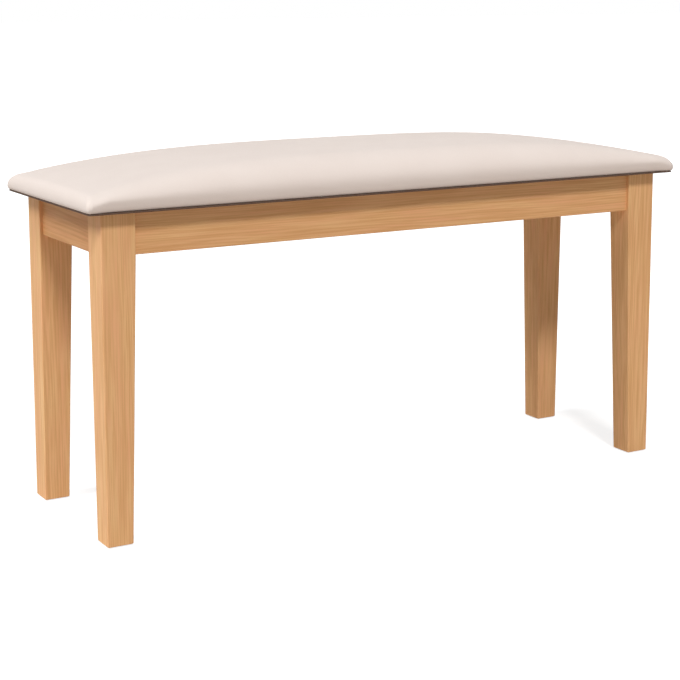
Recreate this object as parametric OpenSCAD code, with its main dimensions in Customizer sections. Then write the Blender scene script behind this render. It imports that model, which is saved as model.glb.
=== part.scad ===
// Upholstered dining bench: four tapered oak legs, four rails and one crowned seat pad.
// Sizes are in millimetres. The origin is on the floor under the middle of the seat,
// +X runs along the bench, -Y is its front and +Z is up.

/* [Seat pad] */
// Length of the pad over its widest line
seat_l = 1000; // [880:10:1300]
// Depth of the pad, front to back
seat_w = 325; // [305:5:400]
// Height of the pad above the frame at its middle
pad_mid_h = 62; // [50:1:75]
// Height of the pad above the frame at its two ends
pad_end_h = 25; // [24:1:36]
// How sharply the crown drops towards the ends
crown_power = 3.3; // [2:0.1:4]
// Share of the height that the pad loses from its middle line to its long edges
cross_crown = 0.1; // [0:0.01:0.15]
// Radius of the pad's corners seen from above
pad_corner_r = 7; // [6:1:20]
// Depth of the soft roll along the front and the back
long_roll = 60; // [34:1:70]
// Depth of the soft roll at the two ends
end_roll = 12; // [8:1:24]
// Height of the pad's widest line above its underside
side_h = 8; // [7:0.5:12]
// How far the pad's bottom edge is drawn in under the widest line
tuck = 3; // [2:0.5:5]

/* [Seat layers] */
// Thickness of the cover
cover_t = 1.2; // [0.8:0.1:1.6]
// Width of the hem that the cover turns under the board
hem_w = 30; // [20:1:40]
// Thickness of the seat board
board_t = 12; // [10:1:15]
// How far the board's edge stays inside the pad's widest line
board_inset = 6.5; // [6:0.1:8]
// Clearance between the cover and the foam
foam_gap = 0.3; // [0.2:0.1:0.6]
// Thickness of the felt that lines the underside of the seat
lining_t = 2.5; // [1:0.1:3]
// How far the felt's edge stays inside the pad's widest line
lining_inset = 3; // [3:0.5:8]

/* [Frame] */
// How far the pad stands out past the legs at each end
end_overhang = 26; // [16:1:34]
// How far the pad stands out past the legs at the front and the back
side_overhang = 21.5; // [14:0.5:26]
// Length of a leg
leg_l = 460; // [380:5:520]
// Width of a leg's top along the bench
leg_top_x = 50; // [46:1:60]
// Width of a leg's top across the bench
leg_top_y = 46; // [44:1:54]
// Width of the square foot of a leg
leg_foot = 38; // [30:1:42]
// Rounding of the legs' and rails' edges
ease_r = 1.5; // [0.8:0.1:2.5]
// Chamfer round the foot of a leg
foot_ease = 1; // [0.5:0.1:2]
// Height of the rails
rail_h = 60; // [54:1:80]
// Thickness of the rails
rail_t = 20; // [18:1:22]
// How far the rails' faces stay behind the legs' faces
rail_setback = 5.5; // [3:0.5:7]

/* [Corner blocks] */
// Thickness of a corner block
block_t = 22; // [20:1:26]
// How much shorter than the rails a corner block is
block_drop = 14; // [8:1:18]
// Gap between a leg and its corner block, taken up when the nut is tightened
block_gap = 0.8; // [0.5:0.1:0.9]
// Cut that takes off a leg's inner corner to seat the block
seat_cut = 9; // [8:1:11]
// Distance from a block's heel to the screw that holds it to the rail
heel_to_screw = 12; // [11:0.5:13]
// Distance along a block from the hanger bolt to the seat screw
bolt_to_seat_screw = 12; // [11.5:0.5:13]
// Depth of the counterbore for the seat screw
seat_screw_sink = 18; // [17:0.5:20]

/* [Centre batten] */
// Width of the batten
batten_w = 45; // [40:1:60]
// Thickness of the batten
batten_t = 20; // [18:1:24]
// Distance of the batten's seat screws from the middle line
batten_screw_y = 70; // [50:5:90]
// Distance between the two dowels in each end of the batten
batten_dowel_gap = 24; // [20:1:28]
// Depth of the batten's dowels in the rails
batten_dowel_in = 12; // [10:1:14]

/* [Dowels] */
// Diameter of the dowels
dowel_d = 8; // [6:0.5:9]
// Length of the rail dowels
rail_dowel_l = 40; // [34:1:44]
// Length of the batten dowels
batten_dowel_l = 30; // [26:1:36]
// Distance between the two dowels of a rail's end
rail_dowel_gap = 30; // [26:1:34]
// Clearance round a dowel, on the radius
dowel_fit = 0.1; // [0.05:0.05:0.2]
// Room left past each end of a dowel
dowel_room = 1; // [0.5:0.1:2]

/* [Hanger bolts] */
// Diameter of a hanger bolt
bolt_d = 6; // [5:0.5:7]
// Length of a hanger bolt's wood screw end inside the leg
bolt_in_leg = 28; // [24:1:30]
// Length of the bolt that stands out past its nut
bolt_past_nut = 2; // [1:0.5:5]
// Length of the bolt's pointed tip
bolt_tip = 5; // [3:0.5:7]
// Diameter of the washer
washer_d = 18; // [14:1:20]
// Thickness of the washer
washer_t = 1.6; // [1:0.1:2.5]
// Width of the nut across its flats
nut_flats = 10; // [9:0.5:12]
// Height of the nut
nut_h = 5; // [4:0.5:7]

/* [Screws] */
// Diameter of the screws
screw_d = 4; // [3:0.5:4.5]
// Diameter of the screws' heads
head_d = 8; // [7:0.5:8.5]
// Height of the screws' heads
head_h = 2.5; // [2:0.1:3]
// Length of the screws between block and rail, with the head
block_screw_l = 25; // [20:1:28]
// Length of the screws between corner block and seat board, with the head
seat_screw_l = 40; // [38:0.5:41]
// Length of the screws between batten and seat board, with the head
batten_screw_l = 30; // [26:0.5:31]
// Wood left under the head of a screw between block and rail
wood_under_head = 12; // [10:0.5:13]
// Clearance round a screw, a bolt or a head, on the radius
screw_fit = 0.25; // [0.1:0.05:0.4]
// Clearance round a screw in its pilot hole, on the radius
pilot_fit = 0.05; // [0.02:0.01:0.1]

/* [Glides] */
// Diameter of a glide under a leg
glide_d = 22; // [16:1:26]
// Height of a glide under a leg
glide_h = 2; // [1.5:0.5:4]
// Rounding of a glide's lower rim
glide_rim = 0.8; // [0.4:0.1:1.2]
// Diameter of a glide's pin
glide_pin_d = 3; // [2:0.5:4]
// Length of a glide's pin inside the leg
glide_pin_l = 15; // [10:1:20]

/* [Hidden] */

// Facets round a rod or a turned piece
round_fn = 48;
// Steps of a quarter circle on an eased edge and on a corner of the pad
ease_steps = 3;
corner_steps = 4;
// Least radius of a ring or a plate inside the pad's outline
least_r = 1;
// Length by which a cut passes a face
pass = 1;
// Share of the side's height at which the pad's lower edge is nearly out to its widest line
tuck_rise = 0.4;
// Share of the tuck that is left at that height
tuck_left = 0.25;
// Distance of a skin's innermost ring from the pad's middle line
last_ring_y = 12;
// Room left past the tip of a pin or a screw in its hole
tip_room = 1;

// Overall sizes of the frame
frame_l = seat_l - 2 * end_overhang;
frame_w = seat_w - 2 * side_overhang;
frame_top = glide_h + leg_l;
rail_z = frame_top - rail_h;
rail_in = rail_setback + rail_t;
long_rail_l = frame_l - 2 * leg_top_x;
end_rail_l = frame_w - 2 * leg_top_y;
inner_w = frame_w - 2 * rail_in;

// Levels of the seat's layers
hem_z = frame_top + lining_t;
board_z = hem_z + cover_t;
foam_z = board_z + board_t;

// A corner is drawn from the legs' outer faces inwards. A diagonal line there is known by its x + y.
leg_sum = leg_top_x + leg_top_y - seat_cut;
block_sum = leg_sum + block_gap * sqrt(2);
block_back_sum = block_sum + block_t * sqrt(2);
block_h = rail_h - block_drop;
block_z = frame_top - block_h;
heel = block_sum - rail_in;
block_tip = block_back_sum - rail_in;

// The hanger bolt crosses the middle of the leg's cut, square to it
bolt_x = leg_top_x - seat_cut / 2;
bolt_y = leg_top_y - seat_cut / 2;
bolt_z = frame_top - rail_h / 2;
block_back = (block_back_sum - leg_sum) / sqrt(2);
bolt_out = block_back + washer_t + nut_h + bolt_past_nut;

// The seat screw stands beside the bolt, in the middle of the block's thickness
block_mid = (block_sum + block_back_sum) / 2;
seat_screw_x = (block_mid + bolt_x - bolt_y) / 2 + bolt_to_seat_screw / sqrt(2);
seat_screw_y = (block_mid - bolt_x + bolt_y) / 2 - bolt_to_seat_screw / sqrt(2);
seat_screw_z = block_z + seat_screw_sink - head_h;

dowel_r = dowel_d / 2;
dowel_hole_r = dowel_r + dowel_fit;
rail_dowel_in = rail_dowel_l / 2;
rail_mid_y = rail_setback + rail_t / 2;
rail_mid_z = rail_z + rail_h / 2;
batten_z = frame_top - batten_t;

oak = "#d2a06c";
oak_inside = "#c08c58";
beech = "#d9b98c";
zinc = "#b9bcc0";
cover_colour = "#ece0d7";
foam_colour = "#f2e7c4";
ply = "#cda676";
lining_colour = "#4d3a30";
nylon = "#6d5a48";

// Outline of a rectangle with rounded corners, its low corner at the origin
function eased(x, y, r, steps = ease_steps) = [
    for (c = [0:3], k = [0:steps])
        let (
            a = 90 * c + 90 * k / steps,
            cx = c == 0 || c == 3 ? x - r : r,
            cy = c < 2 ? y - r : r
        )
        [cx + r * cos(a), cy + r * sin(a)]
];

// Places what is drawn at the front left corner at the corner with signs sx and sy
module corner(sx, sy)
    translate([sx * frame_l / 2, sy * frame_w / 2, 0])
        mirror([sx > 0 ? 1 : 0, 0, 0])
            mirror([0, sy > 0 ? 1 : 0, 0])
                children();

module every_corner()
    for (sx = [-1, 1], sy = [-1, 1])
        corner(sx, sy)
            children();

// Cylinder between two lengths along +Z, +X or +Y
module rod_z(from, to, r)
    translate([0, 0, from])
        cylinder(h = to - from, r = r, $fn = round_fn);
module rod_x(from, to, r)
    rotate([0, 90, 0])
        rod_z(from, to, r);
module rod_y(from, to, r)
    rotate([-90, 0, 0])
        rod_z(from, to, r);

// Turns +X to the inward diagonal of a corner, from the middle of the leg's cut
module on_bolt_line()
    translate([bolt_x, bolt_y, bolt_z])
        rotate([0, 0, 45])
            children();

// Heights of the two dowels of a rail's end
module dowel_heights()
    for (s = [-1, 1])
        translate([0, 0, rail_mid_z + s * rail_dowel_gap / 2])
            children();

// Legs

// Upright piece of a leg from height z, its outer faces drawn in by inset
module leg_piece(z, h, x, y, inset)
    translate([inset, inset, z])
        linear_extrude(h)
            polygon(eased(x - 2 * inset, y - 2 * inset, ease_r));

// A leg is straight beside the rails and tapers on its two inner faces below them
module leg_blank()
    hull() {
        leg_piece(rail_z, rail_h, leg_top_x, leg_top_y, 0);
        leg_piece(glide_h + foot_ease, foot_ease, leg_foot, leg_foot, 0);
        leg_piece(glide_h, foot_ease, leg_foot, leg_foot, foot_ease);
    }

module leg()
    color(oak)
        difference() {
            leg_blank();
            // Flat that the corner block faces
            on_bolt_line()
                translate([0, -leg_top_x, block_z - bolt_z - pass])
                    cube([leg_top_x, 2 * leg_top_x, block_h + 2 * pass]);
            on_bolt_line()
                rod_x(-bolt_in_leg - pass, pass, bolt_d / 2 + pilot_fit);
            dowel_heights() {
                translate([0, rail_mid_y, 0])
                    rod_x(leg_top_x - rail_dowel_in - dowel_room, leg_top_x + pass, dowel_hole_r);
                translate([rail_mid_y, 0, 0])
                    rod_y(leg_top_y - rail_dowel_in - dowel_room, leg_top_y + pass, dowel_hole_r);
            }
            translate([leg_foot / 2, leg_foot / 2, 0])
                rod_z(0, glide_h + glide_pin_l + tip_room, glide_pin_d / 2 + pilot_fit);
        }

module leg_front_left() corner(-1, -1) leg();
module leg_front_right() corner(1, -1) leg();
module leg_back_left() corner(-1, 1) leg();
module leg_back_right() corner(1, 1) leg();

// Rails

// Pilot holes that the corner block's screws need, drawn in a corner
module long_rail_pilot()
    translate([heel + heel_to_screw, 0, bolt_z])
        rod_y(rail_in + wood_under_head - block_screw_l, rail_in + pass, screw_d / 2 + pilot_fit);
module end_rail_pilot()
    translate([0, heel + heel_to_screw, bolt_z])
        rod_x(rail_in + wood_under_head - block_screw_l, rail_in + pass, screw_d / 2 + pilot_fit);

module batten_dowel_places()
    for (s = [-1, 1])
        translate([s * batten_dowel_gap / 2, 0, batten_z + batten_t / 2])
            children();

// The front rail, between the two front legs
module long_rail()
    color(oak)
        difference() {
            translate([-long_rail_l / 2, rail_setback - frame_w / 2, rail_z])
                rotate([90, 0, 90])
                    linear_extrude(long_rail_l)
                        polygon(eased(rail_t, rail_h, ease_r));
            for (sx = [-1, 1])
                corner(sx, -1) {
                    dowel_heights()
                        translate([0, rail_mid_y, 0])
                            rod_x(leg_top_x - pass, leg_top_x + rail_dowel_in + dowel_room, dowel_hole_r);
                    long_rail_pilot();
                }
            batten_dowel_places()
                translate([0, rail_in - frame_w / 2, 0])
                    rod_y(-batten_dowel_in - dowel_room, pass, dowel_hole_r);
        }

// The left rail, between the two left legs
module end_rail()
    color(oak)
        difference() {
            translate([rail_setback - frame_l / 2, end_rail_l / 2, rail_z])
                rotate([90, 0, 0])
                    linear_extrude(end_rail_l)
                        polygon(eased(rail_t, rail_h, ease_r));
            for (sy = [-1, 1])
                corner(-1, sy) {
                    dowel_heights()
                        translate([rail_mid_y, 0, 0])
                            rod_y(leg_top_y - pass, leg_top_y + rail_dowel_in + dowel_room, dowel_hole_r);
                    end_rail_pilot();
                }
        }

module rail_front() long_rail();
module rail_back() mirror([0, 1, 0]) long_rail();
module rail_left() end_rail();
module rail_right() mirror([1, 0, 0]) end_rail();

// Corner blocks

module corner_block()
    color(oak_inside)
        difference() {
            translate([0, 0, block_z])
                linear_extrude(block_h)
                    polygon([
                        [heel, rail_in],
                        [block_tip, rail_in],
                        [rail_in, block_tip],
                        [rail_in, heel]
                    ]);
            on_bolt_line()
                rod_x(0, block_back + pass, bolt_d / 2 + screw_fit);
            translate([heel + heel_to_screw, 0, bolt_z]) {
                rod_y(0, block_tip, screw_d / 2 + screw_fit);
                rod_y(rail_in + wood_under_head - head_h, block_tip, head_d / 2 + screw_fit);
            }
            translate([0, heel + heel_to_screw, bolt_z]) {
                rod_x(0, block_tip, screw_d / 2 + screw_fit);
                rod_x(rail_in + wood_under_head - head_h, block_tip, head_d / 2 + screw_fit);
            }
            translate([seat_screw_x, seat_screw_y, 0]) {
                rod_z(block_z - pass, frame_top + pass, screw_d / 2 + screw_fit);
                rod_z(block_z - pass, seat_screw_z + head_h, head_d / 2 + screw_fit);
            }
        }

module corner_block_front_left() corner(-1, -1) corner_block();
module corner_block_front_right() corner(1, -1) corner_block();
module corner_block_back_left() corner(-1, 1) corner_block();
module corner_block_back_right() corner(1, 1) corner_block();

// Centre batten

module batten_screw_places()
    for (s = [-1, 1])
        translate([0, s * batten_screw_y, 0])
            children();

module centre_batten()
    color(oak_inside)
        difference() {
            translate([-batten_w / 2, inner_w / 2, batten_z])
                rotate([90, 0, 0])
                    linear_extrude(inner_w)
                        polygon(eased(batten_w, batten_t, ease_r));
            batten_dowel_places()
                for (s = [0, 1])
                    mirror([0, s, 0])
                        translate([0, -inner_w / 2, 0])
                            rod_y(-pass, batten_dowel_l - batten_dowel_in + dowel_room, dowel_hole_r);
            batten_screw_places() {
                rod_z(batten_z - pass, frame_top + pass, screw_d / 2 + screw_fit);
                rod_z(batten_z - pass, batten_z + head_h, head_d / 2 + screw_fit);
            }
        }

// Dowels, with their ends rounded over

module dowel(length)
    color(beech)
        rotate([0, 90, 0])
            rotate_extrude($fn = round_fn)
                polygon([
                    [0, 0],
                    [dowel_r - dowel_room, 0],
                    [dowel_r, dowel_room],
                    [dowel_r, length - dowel_room],
                    [dowel_r - dowel_room, length],
                    [0, length]
                ]);

module rail_dowels()
    every_corner()
        dowel_heights() {
            translate([leg_top_x - rail_dowel_in, rail_mid_y, 0])
                dowel(rail_dowel_l);
            translate([rail_mid_y, leg_top_y - rail_dowel_in, 0])
                rotate([0, 0, 90])
                    dowel(rail_dowel_l);
        }

module batten_dowels()
    batten_dowel_places()
        for (s = [0, 1])
            mirror([0, s, 0])
                translate([0, -inner_w / 2 - batten_dowel_in, 0])
                    rotate([0, 0, 90])
                        dowel(batten_dowel_l);

// Hanger bolts with their washers and nuts

module hanger_bolts()
    color(zinc)
        every_corner()
            on_bolt_line()
                rotate([0, 90, 0])
                    rotate_extrude($fn = round_fn)
                        polygon([
                            [0, -bolt_in_leg],
                            [bolt_d / 2, bolt_tip - bolt_in_leg],
                            [bolt_d / 2, bolt_out - pass],
                            [bolt_d / 2 - pass, bolt_out],
                            [0, bolt_out]
                        ]);

module bolt_washers()
    color(zinc)
        every_corner()
            on_bolt_line()
                difference() {
                    rod_x(block_back, block_back + washer_t, washer_d / 2);
                    rod_x(0, bolt_out, bolt_d / 2 + screw_fit);
                }

module bolt_nuts()
    color(zinc)
        every_corner()
            on_bolt_line()
                difference() {
                    translate([block_back + washer_t, 0, 0])
                        rotate([0, 90, 0])
                            cylinder(h = nut_h, d = nut_flats / cos(30), $fn = 6);
                    rod_x(0, bolt_out + pass, bolt_d / 2 + pilot_fit);
                }

// Screws: the head's top at z = 0, the pointed tip upwards

module screw(length)
    color(zinc)
        rotate_extrude($fn = round_fn)
            polygon([
                [0, 0],
                [head_d / 2, 0],
                [head_d / 2, head_h / 2],
                [screw_d / 2, head_h],
                [screw_d / 2, length - screw_d],
                [0, length]
            ]);

module block_screws()
    every_corner() {
        translate([heel + heel_to_screw, rail_in + wood_under_head, bolt_z])
            rotate([90, 0, 0])
                screw(block_screw_l);
        translate([rail_in + wood_under_head, heel + heel_to_screw, bolt_z])
            rotate([0, -90, 0])
                screw(block_screw_l);
    }

module seat_screws()
    every_corner()
        translate([seat_screw_x, seat_screw_y, seat_screw_z])
            screw(seat_screw_l);

module batten_screws()
    batten_screw_places()
        translate([0, 0, batten_z])
            screw(batten_screw_l);

// Glides, one nailed under each foot

module foot_glides()
    color(nylon)
        every_corner()
            translate([leg_foot / 2, leg_foot / 2, 0])
                rotate_extrude($fn = round_fn)
                    polygon(concat(
                        [[0, 0]],
                        [
                            for (k = [0:ease_steps])
                                let (a = 90 * k / ease_steps - 90)
                                [glide_d / 2 - glide_rim + glide_rim * cos(a), glide_rim + glide_rim * sin(a)]
                        ],
                        [
                            [glide_d / 2, glide_h],
                            [glide_pin_d / 2, glide_h],
                            [glide_pin_d / 2, glide_h + glide_pin_l - glide_pin_d],
                            [0, glide_h + glide_pin_l]
                        ]
                    ));

// Seat board and lining

// Flat plate with the pad's outline, drawn in by inset
module seat_plate(inset, z, t)
    translate([0, 0, z])
        linear_extrude(t)
            translate([inset - seat_l / 2, inset - seat_w / 2])
                polygon(eased(seat_l - 2 * inset, seat_w - 2 * inset, corner_r(inset), corner_steps));

// Corner radius of a plate or a ring that lies inset inside the pad's outline
function corner_r(inset) = max(pad_corner_r - inset, least_r);

module seat_screw_cut(r) {
    every_corner()
        translate([seat_screw_x, seat_screw_y, 0])
            rod_z(frame_top - pass, seat_screw_z + seat_screw_l + tip_room, r);
    batten_screw_places()
        rod_z(frame_top - pass, batten_z + batten_screw_l + tip_room, r);
}

module seat_board()
    color(ply)
        difference() {
            seat_plate(board_inset, board_z, board_t);
            seat_screw_cut(screw_d / 2 + pilot_fit);
        }

module seat_lining()
    color(lining_colour)
        difference() {
            seat_plate(lining_inset, frame_top, lining_t);
            seat_screw_cut(screw_d / 2 + screw_fit);
        }

// Padded top. Its skins are rings of points, each ring the pad's outline drawn in by an inset.
// The cover goes right round, and the foam inside it is flush with the board at its lower edge.

// Steps of a quarter ring: along half an end, round the corner and along half a long side
end_steps = 2;
side_steps = 6;
quarter = end_steps + corner_steps + side_steps;
ring_n = 4 * quarter;
// Insets of the rings from the widest line to the flat top, outside and inside
outer_insets = [0, 1.5, 5, 11, 20, 32, 48, 75, 110, seat_w / 2 - last_ring_y];
inner_insets = [0, 3, 9, 18, 34, 60, seat_w / 2 - last_ring_y];

// One quarter of a ring in the quadrant +X +Y, from the middle of the end to short of the middle of the side
function quarter_ring(l, w, r) = concat(
    [for (j = [0:end_steps - 1]) [l / 2, (w / 2 - r) * j / end_steps]],
    [
        for (k = [0:corner_steps])
            let (a = 90 * k / corner_steps)
            [l / 2 - r + r * cos(a), w / 2 - r + r * sin(a)]
    ],
    [for (j = [1:side_steps - 1]) [(l / 2 - r) * (1 - j / side_steps), w / 2]]
);

function full_ring(l, w, r) =
    let (q = quarter_ring(l, w, r))
    concat(
        q,
        [[0, w / 2]],
        [for (i = [quarter - 1:-1:1]) [-q[i].x, q[i].y]],
        [for (p = q) [-p.x, -p.y]],
        [[0, -w / 2]],
        [for (i = [quarter - 1:-1:1]) [q[i].x, -q[i].y]]
    );

// How much point i of a ring belongs to a long side: 0 on the ends, 1 on the long sides
function on_side(i) =
    let (
        m = i % (2 * quarter),
        j = m <= quarter ? m : 2 * quarter - m
    )
    min(1, max(0, (j - end_steps) / corner_steps));

// Height of the flat top over the pad's underside, along and across the pad
function crown(x, y) =
    (pad_end_h + (pad_mid_h - pad_end_h) * (1 - pow(abs(2 * x / seat_l), crown_power)))
    * (1 - cross_crown * pow(2 * y / seat_w, 2));

// Height of a skin that lies depth inside the outer one, at point i of the ring with this inset
function skin_height(i, x, y, inset, depth) =
    let (
        top = crown(x, y),
        roll = end_roll + (long_roll * top / pad_mid_h - end_roll) * on_side(i),
        rise = 1 - min(1, inset / roll)
    )
    side_h + (top - side_h - depth) * sqrt(1 - rise * rise);

// Ring of the padded top: inset from the widest line, depth inside the outer skin
function top_ring(inset, depth) =
    let (
        d = inset + depth,
        r = corner_r(depth) * (1 - inset / (seat_w / 2)),
        ring = full_ring(seat_l - 2 * d, seat_w - 2 * d, r)
    )
    [for (i = [0:ring_n - 1])
        [ring[i].x, ring[i].y, frame_top + skin_height(i, ring[i].x, ring[i].y, inset, depth)]];

// Level ring at the height z
function flat_ring(inset, z) =
    let (ring = full_ring(seat_l - 2 * inset, seat_w - 2 * inset, corner_r(inset)))
    [for (p = ring) [p.x, p.y, z]];

// Points along the pad's middle line, which close a skin. They end short of the pad's ends.
function middle_line(x_end, heights) = [
    for (j = [0:2 * side_steps])
        [x_end * (1 - j / side_steps), 0, heights[j]]
];
middle_end = (seat_l - seat_w) / 2;
function top_line(depth) = middle_line(
    middle_end,
    [for (j = [0:2 * side_steps]) frame_top + crown(middle_end * (1 - j / side_steps), 0) - depth]
);
function flat_line(z) = middle_line(middle_end, [for (j = [0:2 * side_steps]) z]);
line_n = 2 * side_steps + 1;

// Faces between rings that are listed one after another, from point first
function band_faces(first, count) = [
    for (k = [0:count - 2], i = [0:ring_n - 1])
        let (
            a = first + k * ring_n + i,
            b = first + k * ring_n + (i + 1) % ring_n
        )
        each [[a, a + ring_n, b], [b, a + ring_n, b + ring_n]]
];

// Point of the middle line that lies opposite point i of a ring
function line_point(i) =
    let (
        side_start = end_steps + corner_steps,
        half = i % (2 * quarter),
        along = min(2 * side_steps, max(0, half - side_start))
    )
    i < 2 * quarter ? along : 2 * side_steps - along;

// Faces between a ring, from point ring_at, and the middle line, from point line_at
function cap_faces(ring_at, line_at, upper) = [
    for (i = [0:ring_n - 1])
        let (
            a = ring_at + i,
            b = ring_at + (i + 1) % ring_n,
            c = line_at + line_point(i),
            d = line_at + line_point((i + 1) % ring_n)
        )
        each concat(
            [upper ? [a, c, b] : [a, b, c]],
            c == d ? [] : [upper ? [b, c, d] : [b, d, c]]
        )
];

module seat_foam() {
    depth = cover_t + foam_gap;
    rings = concat(
        [flat_ring(board_inset, foam_z)],
        [for (d = inner_insets) if (d + depth > board_inset) top_ring(d, depth)]
    );
    count = len(rings);
    color(foam_colour)
        polyhedron(
            points = concat(flat_line(foam_z), [for (ring = rings) each ring], top_line(depth)),
            faces = concat(
                cap_faces(line_n, 0, false),
                band_faces(line_n, count),
                cap_faces(line_n + (count - 1) * ring_n, line_n + count * ring_n, true)
            )
        );
}

// The cover is one skin: over the top, down the sides, under the board and back up inside
module seat_cover() {
    turn_z = hem_z + (side_h - lining_t) * tuck_rise;
    outer = concat(
        [flat_ring(hem_w, hem_z), flat_ring(tuck, hem_z), flat_ring(tuck * tuck_left, turn_z)],
        [for (d = outer_insets) top_ring(d, 0)]
    );
    inner = concat(
        [for (k = [len(inner_insets) - 1:-1:0]) top_ring(inner_insets[k], cover_t)],
        [flat_ring(tuck + cover_t, board_z), flat_ring(hem_w, board_z)]
    );
    n_out = len(outer);
    n_in = len(inner);
    line_out = n_out * ring_n;
    line_in = line_out + line_n;
    in_at = line_in + line_n;
    last_in = in_at + (n_in - 1) * ring_n;
    color(cover_colour)
        polyhedron(
            points = concat(
                [for (ring = outer) each ring],
                top_line(0),
                top_line(cover_t),
                [for (ring = inner) each ring]
            ),
            faces = concat(
                band_faces(0, n_out),
                cap_faces((n_out - 1) * ring_n, line_out, true),
                cap_faces(in_at, line_in, false),
                band_faces(in_at, n_in),
                [
                    for (i = [0:ring_n - 1])
                        let (j = (i + 1) % ring_n)
                        each [[last_in + i, i, last_in + j], [last_in + j, i, j]]
                ]
            )
        );
}

leg_front_left();
leg_front_right();
leg_back_left();
leg_back_right();
rail_front();
rail_back();
rail_left();
rail_right();
corner_block_front_left();
corner_block_front_right();
corner_block_back_left();
corner_block_back_right();
centre_batten();
rail_dowels();
batten_dowels();
hanger_bolts();
bolt_washers();
bolt_nuts();
block_screws();
seat_screws();
batten_screws();
foot_glides();
seat_lining();
seat_board();
seat_foam();
seat_cover();
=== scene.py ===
"""Looks of an upholstered oak bench.

The packed frame holds every rigid piece at its place. Around it this file makes the finishes,
the cover stretched over its foam, the felt lining, the staples and the fastenings, and the
camera, floor and lamps. Lengths are in metres, in the frame's own axes: the floor at z = 0,
the front towards -Y.
"""

import math

import bmesh
import bpy
from bpy.props import FloatProperty, FloatVectorProperty, IntProperty, PointerProperty
from mathutils import Matrix, Vector


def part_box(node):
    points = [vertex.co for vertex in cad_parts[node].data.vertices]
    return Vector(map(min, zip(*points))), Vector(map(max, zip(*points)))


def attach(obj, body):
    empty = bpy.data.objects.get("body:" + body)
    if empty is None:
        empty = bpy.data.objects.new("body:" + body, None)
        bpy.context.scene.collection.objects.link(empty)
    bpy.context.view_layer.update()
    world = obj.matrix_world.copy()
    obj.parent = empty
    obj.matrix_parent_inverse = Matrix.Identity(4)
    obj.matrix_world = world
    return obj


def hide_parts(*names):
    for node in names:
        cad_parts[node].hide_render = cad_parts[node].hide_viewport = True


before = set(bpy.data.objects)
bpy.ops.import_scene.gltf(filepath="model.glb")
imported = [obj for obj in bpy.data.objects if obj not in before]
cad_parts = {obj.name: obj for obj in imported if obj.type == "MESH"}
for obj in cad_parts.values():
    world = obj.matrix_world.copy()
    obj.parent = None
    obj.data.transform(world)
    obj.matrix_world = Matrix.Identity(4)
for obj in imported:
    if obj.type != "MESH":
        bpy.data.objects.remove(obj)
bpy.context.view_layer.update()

bl_info = {
    "name": "Upholstered oak bench",
    "version": (1, 0, 0),
    "blender": (4, 5, 0),
    "location": "View3D > Sidebar > Bench",
    "description": "Finishes, upholstery and fastenings of an oak bench around its frame",
    "category": "Object",
}

BODY = "root"
COVER_LOW, COVER_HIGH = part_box("seat_cover")
LINING_LOW, LINING_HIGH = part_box("seat_lining")
BOARD_LOW, BOARD_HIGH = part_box("seat_board")
UP = Vector((0.0, 0.0, 1.0))
FULL_TURN = 2 * math.pi

# Names of what a mesh carries
AXIS = "axis"
CLOTH_MAP = "cloth"

# Meshes
MERGE = 1e-6
SHARP = math.radians(40.0)
SHARP_METAL = math.radians(35.0)
SHARP_FELT = math.radians(75.0)
LEAST_RADIUS = 0.001
EDGE_STEP = 0.00039
TURN_STEPS = 4
HEM_STEPS = 4
WIRE_SIDES = 6

# How far the cover may swell: less near its edge, over the width of a soft band
SOFT_EDGE = 0.02
EDGE_GIVE = 0.1

# Where the tree's heart lies from each leg's centre. A rail takes the same places, moved up.
PITHS = ((0.115, 0.020), (0.052, -0.098), (-0.083, 0.061), (0.024, 0.124))
RAIL_PITH = 0.03
BATTEN_PITH = (0.03, 0.09)
DOWEL_PITH = (0.05, 0.04)

# Patterns of the grain: features to the metre across and along it, detail, roughness
GRAIN = {
    "wander": (14.0, 1.6, 2.0, 0.5),
    "wobble": (55.0, 5.0, 2.0, 0.5),
    "ring_share": (34.0, 3.0, 1.0, 0.5),
    "fibres": (720.0, 11.0, 3.0, 0.6),
    "strands": (230.0, 9.0, 2.0, 0.5),
    "pores": (1900.0, 75.0, 1.0, 0.5),
    "patches": (48.0, 7.0, 3.0, 0.6),
}
RING_WANDER = 0.006
RING_WOBBLE = 0.0012
RING_RISE = 0.62
RING_FALL = 0.80
RING_POWER = 1.6
PORE_TONE = 0.45
PORE_ROUGH = 0.15
PORE_DEPTH = 0.5
BASE_TONE = 0.2
# Painted highlight on the wood's edges: its pale colour, and how much of it is mixed in
EDGE_HIGHLIGHT = (1.0, 0.86, 0.68)
EDGE_HIGHLIGHT_SHARE = 0.25

# The cloth while it swells over the foam
CLOTH = {
    "quality": 5, "mass": 0.3, "tension_stiffness": 15.0, "compression_stiffness": 15.0,
    "shear_stiffness": 5.0, "bending_stiffness": 0.5, "use_pressure": True,
}
HALF_HELD = 0.5

# Shares of a screw's, a bolt's or a nut's own sizes
SCREW_CORE = 0.72
SHANK = 0.3
SLOT_REACH = 0.55
SLOT_DEPTH = 0.55
SLOT_WIDTH = 0.6
BOLT_CORE = 0.74
WOOD_THREAD = 1.4
METAL_THREAD = 0.6
CHAMFER = 0.93
CHAMFER_H = 0.72

# Lengths inside a bolt, a nut and a washer
BOLT_PLAIN = 0.004
NUT_CLEARANCE = 0.0001
NUT_COUNTERSINK = 0.0005
WASHER_CLEARANCE = 0.00025

DOWEL_FLUTES = 12
GLIDE_RIM_STEPS = 4

SENSOR = 36.0
NEAREST = 0.05
FURTHEST = 200.0
LAMP_DISTANCE = 3.0


def length(name, description, default):
    """A size that a user may change."""
    return FloatProperty(
        name=name, description=description, default=default, unit="LENGTH", precision=5
    )


def degrees(name, description, default):
    """An angle that a user may change, given in degrees."""
    return FloatProperty(
        name=name, description=description, default=math.radians(default), subtype="ANGLE"
    )


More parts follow.
